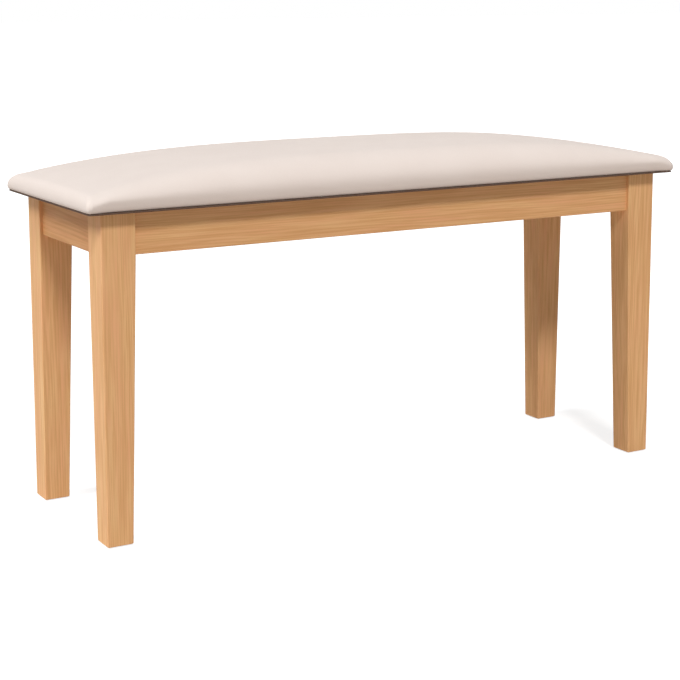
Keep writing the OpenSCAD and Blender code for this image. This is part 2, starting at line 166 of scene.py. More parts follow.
def share(name, description, default, **more):
    """A number without a unit, from nought to one unless told otherwise."""
    return FloatProperty(
        name=name, description=description, default=default, **{"min": 0.0, "max": 1.0, **more}
    )


def colour(name, description, default, most=1.0):
    """A colour that a user may change."""
    return FloatVectorProperty(
        name=name, description=description, default=default, size=3, subtype="COLOR",
        min=0.0, max=most,
    )


def number(name, description, default, most):
    """A number of things or steps."""
    return IntProperty(name=name, description=description, default=default, min=1, max=most)


class BENCH_PG_timber(bpy.types.PropertyGroup):
    """Colours and grain of the wood."""

    light: colour("Light bands", "Oak between the growth rings", (0.870, 0.528, 0.250))
    dark: colour("Dark bands", "Oak in the growth rings", (0.735, 0.395, 0.170))
    blush: colour("Blush", "Broad pinkish bands in the oak", (0.860, 0.460, 0.232))
    ring_gap: length("Ring gap", "Distance between two growth rings", 0.0034)
    contrast: share("Ring contrast", "How much darker the growth rings are", 0.68)
    fibre: share("Fibre contrast", "How much the fine fibres show", 0.80)
    edge_ease: length("Eased edge", "Radius over which light catches an edge", 0.0012)
    rail_tone: colour("Long rails", "Tone of the long rails against the legs", (0.98, 0.96, 0.95))
    # The end rails are painted darker than the legs: partly their own darker tone, partly painted
    # shade for the shade under the pad's overhang
    end_tone_and_shade: colour("End rails", "Tone of the end rails against the legs", (0.82, 0.73, 0.66))
    inner_light: colour("Blocks, light", "Corner blocks and batten, light bands", (0.6, 0.4, 0.22))
    inner_dark: colour("Blocks, dark", "Corner blocks and batten, dark bands", (0.47, 0.29, 0.15))
    beech_light: colour("Beech, light", "Dowels, light bands", (0.720, 0.500, 0.300))
    beech_dark: colour("Beech, dark", "Dowels, dark bands", (0.600, 0.380, 0.210))
    ply_layer: length(
        "Veneer", "Thickness of one layer of the plywood", BOARD_HIGH.z / 7 - BOARD_LOW.z / 7
    )


class BENCH_PG_cover(bpy.types.PropertyGroup):
    """Form and cloth of the padded top. Its reach and height come from the frame."""

    cloth: colour("Cloth", "Colour of the cover", (0.787, 0.685, 0.624))
    cloth_shade: colour("Cloth, shade", "Colour between the cover's threads", (0.729, 0.622, 0.561))
    foam: colour("Foam", "Colour of the foam", (0.86, 0.74, 0.50))
    foam_shade: colour("Foam, shade", "Colour inside the foam's cells", (0.70, 0.56, 0.34))
    pitch: length("Thread pitch", "Distance between two threads of the cover", 0.0007)
    thickness: length("Thickness", "Thickness of the cover", 0.0012)
    end_h: length("End height", "Height of the pad at its two ends, above the frame", 0.025)
    power: share("Crown power", "How sharply the crown drops at the ends", 3.3, min=1.0, max=6.0)
    cross: share("Cross crown", "Height lost from the middle line to the long edges", 0.10)
    corner: length("Corner radius", "Radius of the pad's corners seen from above", 0.007)
    long_roll: length("Long roll", "Depth of the soft roll along the front and the back", 0.060)
    end_roll: length("End roll", "Depth of the soft roll at the two ends", 0.012)
    side_h: length("Side height", "Height of the long sides' widest line above the frame", 0.0165)
    tuck: length("Tuck", "How far the long sides' lower edge is drawn in", 0.007)
    end_side_h: length("End side height", "Height of the ends' widest line above the frame", 0.0085)
    end_tuck: length("End tuck", "How far the ends' lower edge is drawn in", 0.0045)
    corner_reach: length("Corner reach", "Where the long sides have their own form", 0.035)
    hem: length("Hem", "Width of the hem under the board", 0.030)
    foam_gap: length("Foam gap", "Clearance between the cover and the foam", 0.0003)
    gather: length("Gather", "Depth of the small folds at the lower corners", 0.0005)
    gather_reach: length("Gather reach", "How far the folds reach from a corner", 0.014)
    gather_count: number("Gathers", "Folds round a corner", 5, 12)
    mesh_step: length("Mesh step", "Distance between two mesh lines on the flat of the pad", 0.0075)
    slack: length("Slack", "How much smaller the cover starts than it ends", 0.0012)
    hold: share("Hold", "How firmly the foam holds the cover in its form", 0.005)
    pressure: share("Pressure", "Pressure of the foam under the cover", 4.0, min=0.0, max=20.0)
    steps: number("Steps", "Frames of the cloth simulation", 20, 60)


class BENCH_PG_lining(bpy.types.PropertyGroup):
    """Felt under the seat and the staples that hold it and the hem."""

    cloth: colour("Felt", "Colour of the felt", (0.135, 0.085, 0.062))
    uneven: length("Unevenness", "How much the felt's underside rises and falls", 0.0004)
    mesh_step: length("Mesh step", "Distance between two mesh lines of the felt", 0.012)
    staple_gap: length("Staple gap", "Distance between two staples of the felt", 0.042)
    hem_gap: length("Hem staple gap", "Distance between two staples of the hem", 0.028)
    staple_in: length("Staple inset", "Distance of the staples from the felt's edge", 0.008)
    hem_staple_in: length("Hem inset", "Distance of the hem's staples from the widest line", 0.021)
    crown: length("Staple crown", "Width of a staple", 0.010)
    wire: length("Staple wire", "Thickness of a staple's wire", 0.0007)
    leg: length("Staple leg", "Length of a staple's legs in the board", 0.008)
    staple_turn: degrees("Staple turn", "Largest turn of a staple out of its row", 6.0)


class BENCH_PG_fastenings(bpy.types.PropertyGroup):
    """Bolts, nuts, washers, screws and glides. Their places come from the frame."""

    bolt_r: length("Bolt radius", "Outer radius of a hanger bolt", 0.003)
    bolt_leg: length("Bolt in the leg", "Length of a hanger bolt's wood thread", 0.028)
    bolt_past: length("Bolt past the nut", "Length of the bolt past its nut", 0.002)
    bolt_tip: length("Bolt tip", "Length of a hanger bolt's pointed tip", 0.005)
    bolt_pitch: length("Bolt pitch", "Pitch of a hanger bolt's machine thread", 0.001)
    nut_flats: length("Nut", "Width of a nut across its flats", 0.010)
    nut_h: length("Nut height", "Height of a nut", 0.005)
    washer_r: length("Washer radius", "Radius of a washer", 0.009)
    washer_t: length("Washer thickness", "Thickness of a washer", 0.0016)
    screw_r: length("Screw radius", "Outer radius of a screw's thread", 0.002)
    screw_pitch: length("Screw pitch", "Pitch of a wood screw's thread", 0.0018)
    head_r: length("Head radius", "Radius of a screw's head", 0.004)
    head_h: length("Head height", "Height of a screw's head", 0.0025)
    dowel_r: length("Dowel radius", "Radius of a dowel", 0.004)
    dowel_end: length("Dowel end", "Length of a dowel's rounded end", 0.001)
    flute: length("Flute", "Depth of a dowel's flutes", 0.0003)
    glide_r: length("Glide radius", "Radius of a glide", 0.011)
    glide_h: length("Glide height", "Height of a glide", 0.002)
    glide_rim: length("Glide rim", "Rounding of a glide's lower rim", 0.0008)
    nail_r: length("Nail radius", "Radius of a glide's nail", 0.0015)
    nail_l: length("Nail length", "Length of a glide's nail inside the leg", 0.015)
    zinc: colour("Zinc", "Colour of the plated steel", (0.560, 0.570, 0.585))
    nylon: colour("Nylon", "Colour of the glides", (0.150, 0.095, 0.062))


class BENCH_PG_stage(bpy.types.PropertyGroup):
    """Camera, floor and lamps."""

    place: FloatVectorProperty(
        name="Camera", description="Place of the camera", default=(-1.2734, -2.1500, 0.7602),
        subtype="XYZ",
    )
    azimuth: degrees("Azimuth", "Turn of the camera round the bench", -30.111)
    pitch: degrees("Pitch", "How far the camera looks down", 8.561)
    roll: degrees("Roll", "Turn of the camera about its own axis", -0.102)
    lens: FloatProperty(name="Lens", description="Focal length, in millimetres", default=86.67)
    shift: FloatProperty(name="Shift", description="Vertical shift of the lens", default=-0.16)
    front_lamp: share("Front lamp", "Strength of the lamp in front", 1.58, max=20.0)
    front_tint: colour("Front tint", "Colour of the front lamp", (1.0, 1.0, 1.0), 2.0)
    front_turn: degrees("Front turn", "Turn of the front lamp towards the left", 18.0)
    front_height: degrees("Front height", "Height of the front lamp above the floor", 46.5)
    front_softness: degrees("Front softness", "Width of the front lamp seen from the bench", 10.0)
    left_lamp: share("Left lamp", "Strength of the lamp on the left", 2.04, max=20.0)
    left_tint: colour("Left tint", "Colour of the left lamp", (0.96, 1.0, 1.03), 2.0)
    left_turn: degrees("Left turn", "Turn of the left lamp towards the left", 90.0)
    left_height: degrees("Left height", "Height of the left lamp above the floor", 51.0)
    left_softness: degrees("Left softness", "Width of the left lamp seen from the bench", 22.0)
    sky: share("Sky", "Strength of the light from all round", 0.18, max=5.0)
    floor_size: length("Floor", "Length of a side of the floor", 60.0)
    floor: colour("Floor", "Colour of the floor in the light it throws back", (0.640, 0.580, 0.535))
    floor_seen: colour("Floor seen", "Colour of the floor for the camera", (0.50, 0.50, 0.50))
    floor_white: share("Floor white", "Light that the floor adds for the camera", 0.80)


# Nodes of materials and of geometry trees


def feed(tree, socket, value):
    """Links another node's output to a socket, or sets the socket to a number or a colour."""
    if isinstance(value, bpy.types.NodeSocket):
        tree.links.new(value, socket)
    else:
        socket.default_value = value


def add(tree, kind, inputs=None, **settings):
    """A node with its settings and with what feeds its inputs."""
    node = tree.nodes.new(kind)
    for name, value in settings.items():
        setattr(node, name, value)
    for key, value in (inputs or {}).items():
        feed(tree, node.inputs[key], value)
    return node


def maths(tree, operation, *values):
    """Result of a sum on numbers."""
    return add(tree, "ShaderNodeMath", dict(enumerate(values)), operation=operation).outputs[0]


def times(tree, a, b):
    """Product of two numbers."""
    return maths(tree, "MULTIPLY", a, b)


def plus(tree, first, *others):
    """Sum of numbers, added from the left."""
    for other in others:
        first = maths(tree, "ADD", first, other)
    return first


def clamped(tree, value, more=0.0):
    """A number plus a constant, held between nought and one."""
    return add(
        tree, "ShaderNodeMath", {0: value, 1: more}, operation="ADD", use_clamp=True
    ).outputs[0]


def scaled(tree, vector, scale):
    """A vector with each part multiplied by its own scale."""
    return add(tree, "ShaderNodeVectorMath", {0: vector, 1: scale}, operation="MULTIPLY").outputs[0]


def blend(tree, factor, a, b):
    """Mix of two colours."""
    return add(tree, "ShaderNodeMix", {0: factor, 6: a, 7: b}, data_type="RGBA").outputs[2]


def remap(tree, value, from_min, from_max, to_min, to_max):
    """A number moved from one range to another, and held in it."""
    ends = {"From Min": from_min, "From Max": from_max, "To Min": to_min, "To Max": to_max}
    return add(tree, "ShaderNodeMapRange", {"Value": value, **ends}).outputs[0]


def spread(tree, value, low, high):
    """The middle of a noise's range, stretched from low to high."""
    return remap(tree, value, 0.3, 0.7, low, high)


def noise(tree, vector, scale, detail=2.0, roughness=0.5):
    """Noise from nought to one. scale is three numbers: how fine it is along each axis."""
    node = add(
        tree, "ShaderNodeTexNoise",
        {
            "Vector": scaled(tree, vector, scale), "Scale": 1.0,
            "Detail": detail, "Roughness": roughness,
        },
    )
    return node.outputs[0]


def object_place(tree):
    """Object coordinates, which are metres in the frame's axes."""
    return add(tree, "ShaderNodeTexCoord").outputs["Object"]


def rgba(values):
    """A colour with its alpha."""
    return (*values, 1.0)


def group(name, kind, inputs, outputs):
    """A node group with its input and output nodes. A socket is (name, type[, default])."""
    tree = bpy.data.node_groups.new(name, kind)
    for direction, sockets in (("INPUT", inputs), ("OUTPUT", outputs)):
        for label, kind_of, *default in sockets:
            socket = tree.interface.new_socket(
                label, in_out=direction, socket_type=f"NodeSocket{kind_of}"
            )
            if default:
                socket.default_value = default[0]
    return tree, tree.nodes.new("NodeGroupInput"), tree.nodes.new("NodeGroupOutput")


def placed(tree, made, inputs):
    """Outputs of a node group that is set into a material with its own values."""
    return add(tree, "ShaderNodeGroup", inputs, node_tree=made).outputs


def once(maker):
    """Keeps the first result of a function, so that a node group is built only once."""
    made = {}

    def kept():
        if not made:
            made["it"] = maker()
        return made["it"]

    return kept


@once
def wood_grain():
    """Growth rings, fibres and pores.

    The vector runs along the grain with z, and the tree's heart lies at x = y = 0.
    """
    tree, into, out = group(
        "wood_grain", "ShaderNodeTree",
        [
            ("Vector", "Vector"), ("Light", "Color"), ("Dark", "Color"), ("Blush", "Color"),
            ("Ring Gap", "Float", 0.004), ("Contrast", "Float", 0.5), ("Fibre", "Float", 0.5),
        ],
        [("Color", "Color"), ("Roughness", "Float"), ("Height", "Float")],
    )
    place = into.outputs["Vector"]
    figure = {
        name: noise(tree, place, (across, across, along), detail, roughness)
        for name, (across, along, detail, roughness) in GRAIN.items()
    }
    flat = scaled(tree, place, (1.0, 1.0, 0.0))
    radius = plus(
        tree,
        add(tree, "ShaderNodeVectorMath", {0: flat}, operation="LENGTH").outputs["Value"],
        spread(tree, figure["wander"], -RING_WANDER, RING_WANDER),
        spread(tree, figure["wobble"], -RING_WOBBLE, RING_WOBBLE),
    )
    turn = maths(tree, "FRACT", maths(tree, "DIVIDE", radius, into.outputs["Ring Gap"]))
    rise = remap(tree, turn, 0.0, RING_RISE, 0.0, 1.0)
    fall = remap(tree, turn, RING_FALL, 1.0, 1.0, 0.0)
    ring = times(tree, maths(tree, "POWER", rise, RING_POWER), fall)
    ring = times(tree, ring, remap(tree, figure["ring_share"], 0.25, 0.75, 0.25, 1.0))
    pore = remap(tree, figure["pores"], 0.66, 0.74, 0.0, 1.0)
    pore = times(tree, pore, remap(tree, ring, 0.1, 0.7, 0.25, 1.0))
    fibre = into.outputs["Fibre"]
    tone = plus(
        tree,
        times(tree, ring, into.outputs["Contrast"]),
        times(tree, spread(tree, figure["fibres"], -0.5, 0.5), fibre),
        times(tree, spread(tree, figure["strands"], -0.6, 0.6), fibre),
        times(tree, pore, PORE_TONE),
    )
    patches = remap(tree, figure["patches"], 0.36, 0.64, 0.0, 1.0)
    light = blend(tree, patches, into.outputs["Light"], into.outputs["Blush"])
    shade = blend(tree, clamped(tree, tone, BASE_TONE), light, into.outputs["Dark"])
    rough = plus(tree, spread(tree, figure["fibres"], 0.44, 0.56), times(tree, pore, PORE_ROUGH))
    raised = remap(tree, figure["fibres"], 0.2, 0.8, 0.4, 0.6)
    height = maths(tree, "SUBTRACT", raised, times(tree, pore, PORE_DEPTH))
    tree.links.new(shade, out.inputs["Color"])
    tree.links.new(rough, out.inputs["Roughness"])
    tree.links.new(height, out.inputs["Height"])
    return tree


@once
def edge_light():
    """Mask of the edges, one where the surface turns within the given radius."""
    tree, into, out = group(
        "edge_light", "ShaderNodeTree", [("Radius", "Float", 0.001)], [("Mask", "Float")]
    )
    bevel = add(tree, "ShaderNodeBevel", {"Radius": into.outputs["Radius"]}, samples=4)
    flat = add(tree, "ShaderNodeNewGeometry").outputs["True Normal"]
    across = add(
        tree, "ShaderNodeVectorMath", {0: bevel.outputs[0], 1: flat}, operation="DOT_PRODUCT"
    ).outputs["Value"]
    tree.links.new(remap(tree, across, 0.99, 0.80, 0.0, 1.0), out.inputs["Mask"])
    return tree


@once
def cloth_weave():
    """Plain weave on a map in metres: its height and a mask of the gaps between threads."""
    tree, into, out = group(
        "cloth_weave", "ShaderNodeTree",
        [("Vector", "Vector"), ("Pitch", "Float", 0.001)],
        [("Height", "Float"), ("Gap", "Float")],
    )
    cells = maths(tree, "DIVIDE", math.pi, into.outputs["Pitch"])
    parts = add(tree, "ShaderNodeSeparateXYZ", {0: into.outputs["Vector"]}).outputs
    waves = [maths(tree, "SINE", times(tree, parts[axis], cells)) for axis in (0, 1)]
    warp, weft = (maths(tree, "ABSOLUTE", wave) for wave in waves)
    over = maths(tree, "GREATER_THAN", times(tree, *waves), 0.0)
    under = maths(tree, "SUBTRACT", 1.0, over)
    height = plus(tree, times(tree, over, warp), times(tree, under, weft))
    tree.links.new(height, out.inputs["Height"])
    tree.links.new(remap(tree, height, 0.35, 0.0, 0.0, 1.0), out.inputs["Gap"])
    return tree


# Materials


def blank(name, **values):
    """A material with its own Principled shader. Returns it with its tree and the shader."""
    made = bpy.data.materials.new(name)
    made.use_nodes = True
    tree = made.node_tree
    tree.nodes.clear()
    inputs = {key.replace("_", " "): value for key, value in values.items()}
    shader = add(tree, "ShaderNodeBsdfPrincipled", inputs)
    add(tree, "ShaderNodeOutputMaterial", {"Surface": shader.outputs[0]})
    return made, tree, shader


def dress(tree, shader, tone, rough, height, depth, strength=1.0):
    """Gives a shader its colour, its roughness if it varies, and relief from a height."""
    tree.links.new(tone, shader.inputs["Base Color"])
    if rough is not None:
        tree.links.new(rough, shader.inputs["Roughness"])
    bump = add(
        tree, "ShaderNodeBump", {"Strength": strength, "Distance": depth, "Height": height}
    )
    tree.links.new(bump.outputs[0], shader.inputs["Normal"])


def wood(name, timber, colours, centre, along, pith):
    """Wood cut along a direction.

    pith is where the tree's heart lies from the piece's centre, across the grain.
    """
    made, tree, shader = blank(name, Specular_IOR_Level=0.08)
    turn = Vector(along).to_track_quat("Z", "Y").inverted()
    move = Vector((*pith, 0.0)) - turn @ Vector(centre)
    mapping = add(
        tree, "ShaderNodeMapping",
        {"Vector": object_place(tree), "Location": move, "Rotation": turn.to_euler()},
    )
    light, dark, blush = (rgba(shade) for shade in colours)
    grain = placed(
        tree, wood_grain(),
        {
            "Vector": mapping.outputs[0], "Light": light, "Dark": dark, "Blush": blush,
            "Ring Gap": timber.ring_gap, "Contrast": timber.contrast, "Fibre": timber.fibre,
        },
    )
    # Painted highlight: the colour turns paler along the edges, where light would catch them
    edge = placed(tree, edge_light(), {"Radius": timber.edge_ease})["Mask"]
    highlit = blend(tree, 0.5, grain["Color"], rgba(EDGE_HIGHLIGHT))
    tone = blend(tree, times(tree, edge, EDGE_HIGHLIGHT_SHARE), grain["Color"], highlit)
    dress(tree, shader, tone, grain["Roughness"], grain["Height"], 0.00012)
    return made


def plywood(timber):
    """Face veneer above and below, and its layers at the edge, every second one across."""
    made, tree, shader = blank("birch_plywood", Specular_IOR_Level=0.3)
    where = object_place(tree)
    along = add(
        tree, "ShaderNodeMapping", {"Vector": where, "Rotation": (0.0, math.pi / 2, 0.0)}
    )
    face = rgba(timber.beech_light)
    grain = placed(
        tree, wood_grain(),
        {
            "Vector": along.outputs[0], "Light": face, "Dark": rgba(timber.beech_dark),
            "Blush": face, "Ring Gap": 0.012, "Contrast": 0.6, "Fibre": 0.6,
        },
    )
    height = add(tree, "ShaderNodeSeparateXYZ", {0: where}).outputs[2]
    from_low = maths(tree, "SUBTRACT", height, BOARD_LOW.z)
    layer = maths(tree, "FLOOR", maths(tree, "DIVIDE", from_low, timber.ply_layer))
    across = times(tree, maths(tree, "PINGPONG", layer, 1.0), 0.45)
    tone = blend(tree, across, grain["Color"], rgba(timber.inner_dark))
    dress(tree, shader, tone, grain["Roughness"], grain["Height"], 0.0002)
    return made


def cover_cloth(s):
    """Fine plain-woven cloth, slightly uneven in colour."""
    made, tree, shader = blank(
        "cover_cloth", Roughness=0.72, Specular_IOR_Level=0.30, Sheen_Roughness=0.45,
        Sheen_Weight=0.12,
    )
    flat = add(tree, "ShaderNodeUVMap", uv_map=CLOTH_MAP).outputs[0]
    weave = placed(tree, cloth_weave(), {"Vector": flat, "Pitch": s.pitch})
    slub = noise(tree, flat, (260.0, 1500.0, 1.0), 2.0)
    cloud = noise(tree, object_place(tree), (16.0, 16.0, 16.0), 3.0)
    shade = plus(
        tree,
        times(tree, weave["Gap"], 0.6),
        spread(tree, slub, 0.0, 0.35),
        remap(tree, cloud, 0.35, 0.65, -0.1, 0.15),
    )
    tone = blend(tree, clamped(tree, shade), rgba(s.cloth), rgba(s.cloth_shade))
    rough = remap(tree, weave["Height"], 0.0, 1.0, 0.82, 0.66)
    dress(tree, shader, tone, rough, weave["Height"], 0.00005, 0.6)
    return made


def open_foam(s):
    """Open-celled foam."""
    made, tree, shader = blank("seat_foam_cells", Roughness=0.9, Specular_IOR_Level=0.2)
    cells = add(
        tree, "ShaderNodeTexVoronoi", {"Vector": object_place(tree), "Scale": 900.0}
    ).outputs[0]
    dress(tree, shader, blend(tree, cells, rgba(s.foam), rgba(s.foam_shade)), None, cells, 0.0006)
    return made


def pressed_felt(s):
    """Pressed felt: a tangle of fibres, with paler ones here and there."""
    made, tree, shader = blank("pressed_felt", Roughness=0.9, Specular_IOR_Level=0.15)
    fibres = noise(tree, object_place(tree), (900.0, 900.0, 900.0), 4.0, 0.7)
    dark, light = (tuple(share_of * c for c in s.cloth) for share_of in (0.6, 1.5))
    tone = blend(tree, spread(tree, fibres, 0.0, 1.0), rgba(dark), rgba(light))
    dress(tree, shader, tone, None, fibres, 0.0003)
    return made


@once
def plated_steel():
    """Zinc-plated steel with a faint bloom."""
    zinc = bpy.context.scene.bench_fastenings.zinc
    made, tree, shader = blank("zinc_plated_steel", Metallic=1.0)
    bloom = noise(tree, object_place(tree), (300.0, 300.0, 300.0), 3.0)
    warm = (zinc[0] * 1.12, zinc[1] * 1.02, zinc[2] * 0.86)
    tone = blend(tree, remap(tree, bloom, 0.4, 0.7, 0.0, 0.7), rgba(zinc), rgba(warm))
    dress(tree, shader, tone, spread(tree, bloom, 0.28, 0.46), bloom, 0.00004)
    return made


def moulded_nylon(s):
    """Moulded nylon with a fine matt grain."""
    made, tree, shader = blank("moulded_nylon", Specular_IOR_Level=0.4)
    grain = noise(tree, object_place(tree), (1500.0, 1500.0, 1500.0), 2.0)
    light = tuple(1.35 * c for c in s.nylon)
    tone = blend(tree, grain, rgba(s.nylon), rgba(light))
    dress(tree, shader, tone, spread(tree, grain, 0.42, 0.6), grain, 0.00008)
    return made


# Pieces


def new_piece(name, mesh, material, slot, *nodes):
    """Links a finished mesh as a piece of the bench that stands for the given nodes."""
    piece = bpy.data.objects.new(name, mesh)
    bpy.context.scene.collection.objects.link(piece)
    mesh.materials.clear()
    mesh.materials.append(material)
    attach(piece, BODY)
    if nodes:
        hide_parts(*nodes)
    return piece


def mesh_of(name, points, faces, sharp=SHARP):
    """A mesh with merged doubles, outward faces and smooth shading between its sharp edges."""
    mesh = bpy.data.meshes.new(name)
    mesh.from_pydata([tuple(p) for p in points], [], faces)
    tidy(mesh, sharp)
    return mesh


def tidy(mesh, sharp):
    """Merges doubles, turns faces outwards and marks the sharp edges."""
    work = bmesh.new()
    work.from_mesh(mesh)
    bmesh.ops.remove_doubles(work, verts=work.verts, dist=MERGE)
    bmesh.ops.recalc_face_normals(work, faces=work.faces)
    for face in work.faces:
        face.smooth = True
    for edge in work.edges:
        edge.smooth = len(edge.link_faces) == 2 and edge.calc_face_angle(0.0) < sharp
    work.to_mesh(mesh)
    work.free()


def finish_node(node, material):
    """Gives a node of the frame a finish."""
    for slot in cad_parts[node].material_slots:
        slot.material = material


def middle(node):
    """Middle of a node's box."""
    low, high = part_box(node)
    return (low + high) / 2


def settle(piece):
    """Makes the result of an object's modifiers its plain mesh."""
    depsgraph = bpy.context.evaluated_depsgraph_get()
    mesh = bpy.data.meshes.new_from_object(
        piece.evaluated_get(depsgraph), preserve_all_data_layers=True, depsgraph=depsgraph
    )
    old = piece.data
    piece.modifiers.clear()
    piece.data = mesh
    bpy.data.meshes.remove(old)


def linked(context, name, mesh):
    """A helper object, which is removed when its piece is made."""
    helper = bpy.data.objects.new(name, mesh)
    context.scene.collection.objects.link(helper)
    return helper


def smooth_step(value, low, high):
    """Smooth rise from nought at low to one at high."""
    t = min(1.0, max(0.0, (value - low) / (high - low)))
    return t * t * (3.0 - 2.0 * t)


# Plan of the seat: a grid whose lines follow the rounded outline near the edges


class SeatGrid:
    """Grid of quads over the seat. Ring k of the grid lies insets[k] inside the rounded outline.

    The rings are close together at the edge and a mesh step apart on the flat.
    """

    def __init__(self, half_x, half_y, corner, step):
        self.half_x = half_x
        self.half_y = half_y
        self.corner = corner
        curved = [0.0]
        while 2 * EDGE_STEP * len(curved) < step:
            curved.append(EDGE_STEP * len(curved) ** 2)
        rest = round((half_y - curved[-1]) / step)
        flat = [curved[-1] + (half_y - curved[-1]) * k / rest for k in range(1, rest + 1)]
        self.insets = curved + flat
        rest = round((half_x - half_y) * 2 / step)
        between = [half_y + 2 * (half_x - half_y) * k / rest for k in range(1, rest)]
        self.lines_x = self.insets + between + [2 * half_x - d for d in reversed(self.insets)]
        self.lines_y = self.insets + [2 * half_y - d for d in reversed(self.insets[:-1])]
        self.last_x = len(self.lines_x) - 1
        self.last_y = len(self.lines_y) - 1

    def place(self, i, j):
        """(x, y, inset, share of the long side) of a grid point."""
        inset = self.insets[min(i, self.last_x - i, j, self.last_y - j)]
        x = self.lines_x[i] - self.half_x
        y = self.lines_y[j] - self.half_y
        from_end = self.half_x - inset - abs(x)
        from_side = self.half_y - inset - abs(y)
        r = self.corner * (1.0 - inset / self.half_y)
        if r < MERGE or max(from_end, from_side) >= r:
            return x, y, inset, 1.0 if from_side <= from_end else 0.0
        angle = math.pi / 4 * (1.0 + (from_end - from_side) / r)
        along = self.half_x - inset - r + r * math.cos(angle)
        across = self.half_y - inset - r + r * math.sin(angle)
        return math.copysign(along, x), math.copysign(across, y), inset, angle / (math.pi / 2)

    def drawn_in(self, i, j, inset):
        """(x, y) of a point of the outline on a ring that lies inset further in."""
        x, y, _, side = self.place(i, j)
        r = max(self.corner - inset, LEAST_RADIUS)
        half_x = self.half_x - inset
        half_y = self.half_y - inset
        if side >= 1.0:
            return x * (half_x - r) / (self.half_x - self.corner), math.copysign(half_y, y)
        if side <= 0.0:
            return math.copysign(half_x, x), y * (half_y - r) / (self.half_y - self.corner)
        angle = side * math.pi / 2
        along = half_x - r + r * math.cos(angle)
        across = half_y - r + r * math.sin(angle)
        return math.copysign(along, x), math.copysign(across, y)

    def quads(self):
        """Quads of the grid as four (i, j) points, anticlockwise from above."""
        return [
            ((i, j), (i + 1, j), (i + 1, j + 1), (i, j + 1))
            for i in range(self.last_x)
            for j in range(self.last_y)
        ]

    def points(self):
        """All (i, j) points of the grid."""
        return [(i, j) for i in range(self.last_x + 1) for j in range(self.last_y + 1)]

    def both_sides(self, above, below):
        """Faces of the quads on the upper side, and turned over on the lower side."""
        faces = []
        for quad in self.quads():
            faces.append([above[p] for p in quad])
            faces.append([below[p] for p in reversed(quad)])
        return faces

    def outline(self):
        """(i, j) points round the outer ring, anticlockwise from above."""
        nx, ny = self.last_x, self.last_y
        points = [(i, 0) for i in range(nx)] + [(nx, j) for j in range(ny)]
        return points + [(i, ny) for i in range(nx, 0, -1)] + [(0, j) for j in range(ny, 0, -1)]


class Pad:
    """Outer form of the padded top, and the form of the foam inside it."""

    def __init__(self, s, step):
        self.s = s
        self.base = LINING_LOW.z
        self.mid_h = COVER_HIGH.z - self.base
        self.grid = SeatGrid(COVER_HIGH.x, COVER_HIGH.y, s.corner, step)

    def side_form(self, x, side):
        """(height of the widest line above the frame, tuck), both less at the ends and corners."""
        s = self.s
        own = side * smooth_step(COVER_HIGH.x - abs(x), 0.0, s.corner_reach)
        widest = s.end_side_h + (s.side_h - s.end_side_h) * own
        return widest, s.end_tuck + (s.tuck - s.end_tuck) * own

    def crown(self, x, y):
        """Height of the crowned top above the frame, before its edges roll over."""
        s = self.s
        along = 1.0 - abs(x / COVER_HIGH.x) ** s.power
        height = s.end_h + (self.mid_h - s.end_h) * along
        return height * (1.0 - s.cross * (y / COVER_HIGH.y) ** 2)

    def top(self, i, j, depth=0.0, low=None):
        """Point over a grid point, depth inside the outer form, and its edge no lower than low."""
        s = self.s
        x, y, inset, side = self.grid.place(i, j)
        crown = self.crown(x, y)
        roll = s.end_roll + (s.long_roll * crown / self.mid_h - s.end_roll) * side
        widest, _ = self.side_form(x, side)
        rise = crown - depth - widest
        start = 0.0
        if low is not None:
            share_up = (low - self.base - widest) / rise
            start = roll * (1.0 - math.sqrt(1.0 - share_up * share_up))
        left = 1.0 - min(1.0, (start + inset * (1.0 - start / self.grid.half_y)) / roll)
        z = self.base + widest + rise * math.sqrt(1.0 - left * left)
        share_x = 1.0 - (depth + start) / self.grid.half_x
        share_y = 1.0 - (depth + start) / self.grid.half_y
        return Vector((x * share_x, y * share_y, z))


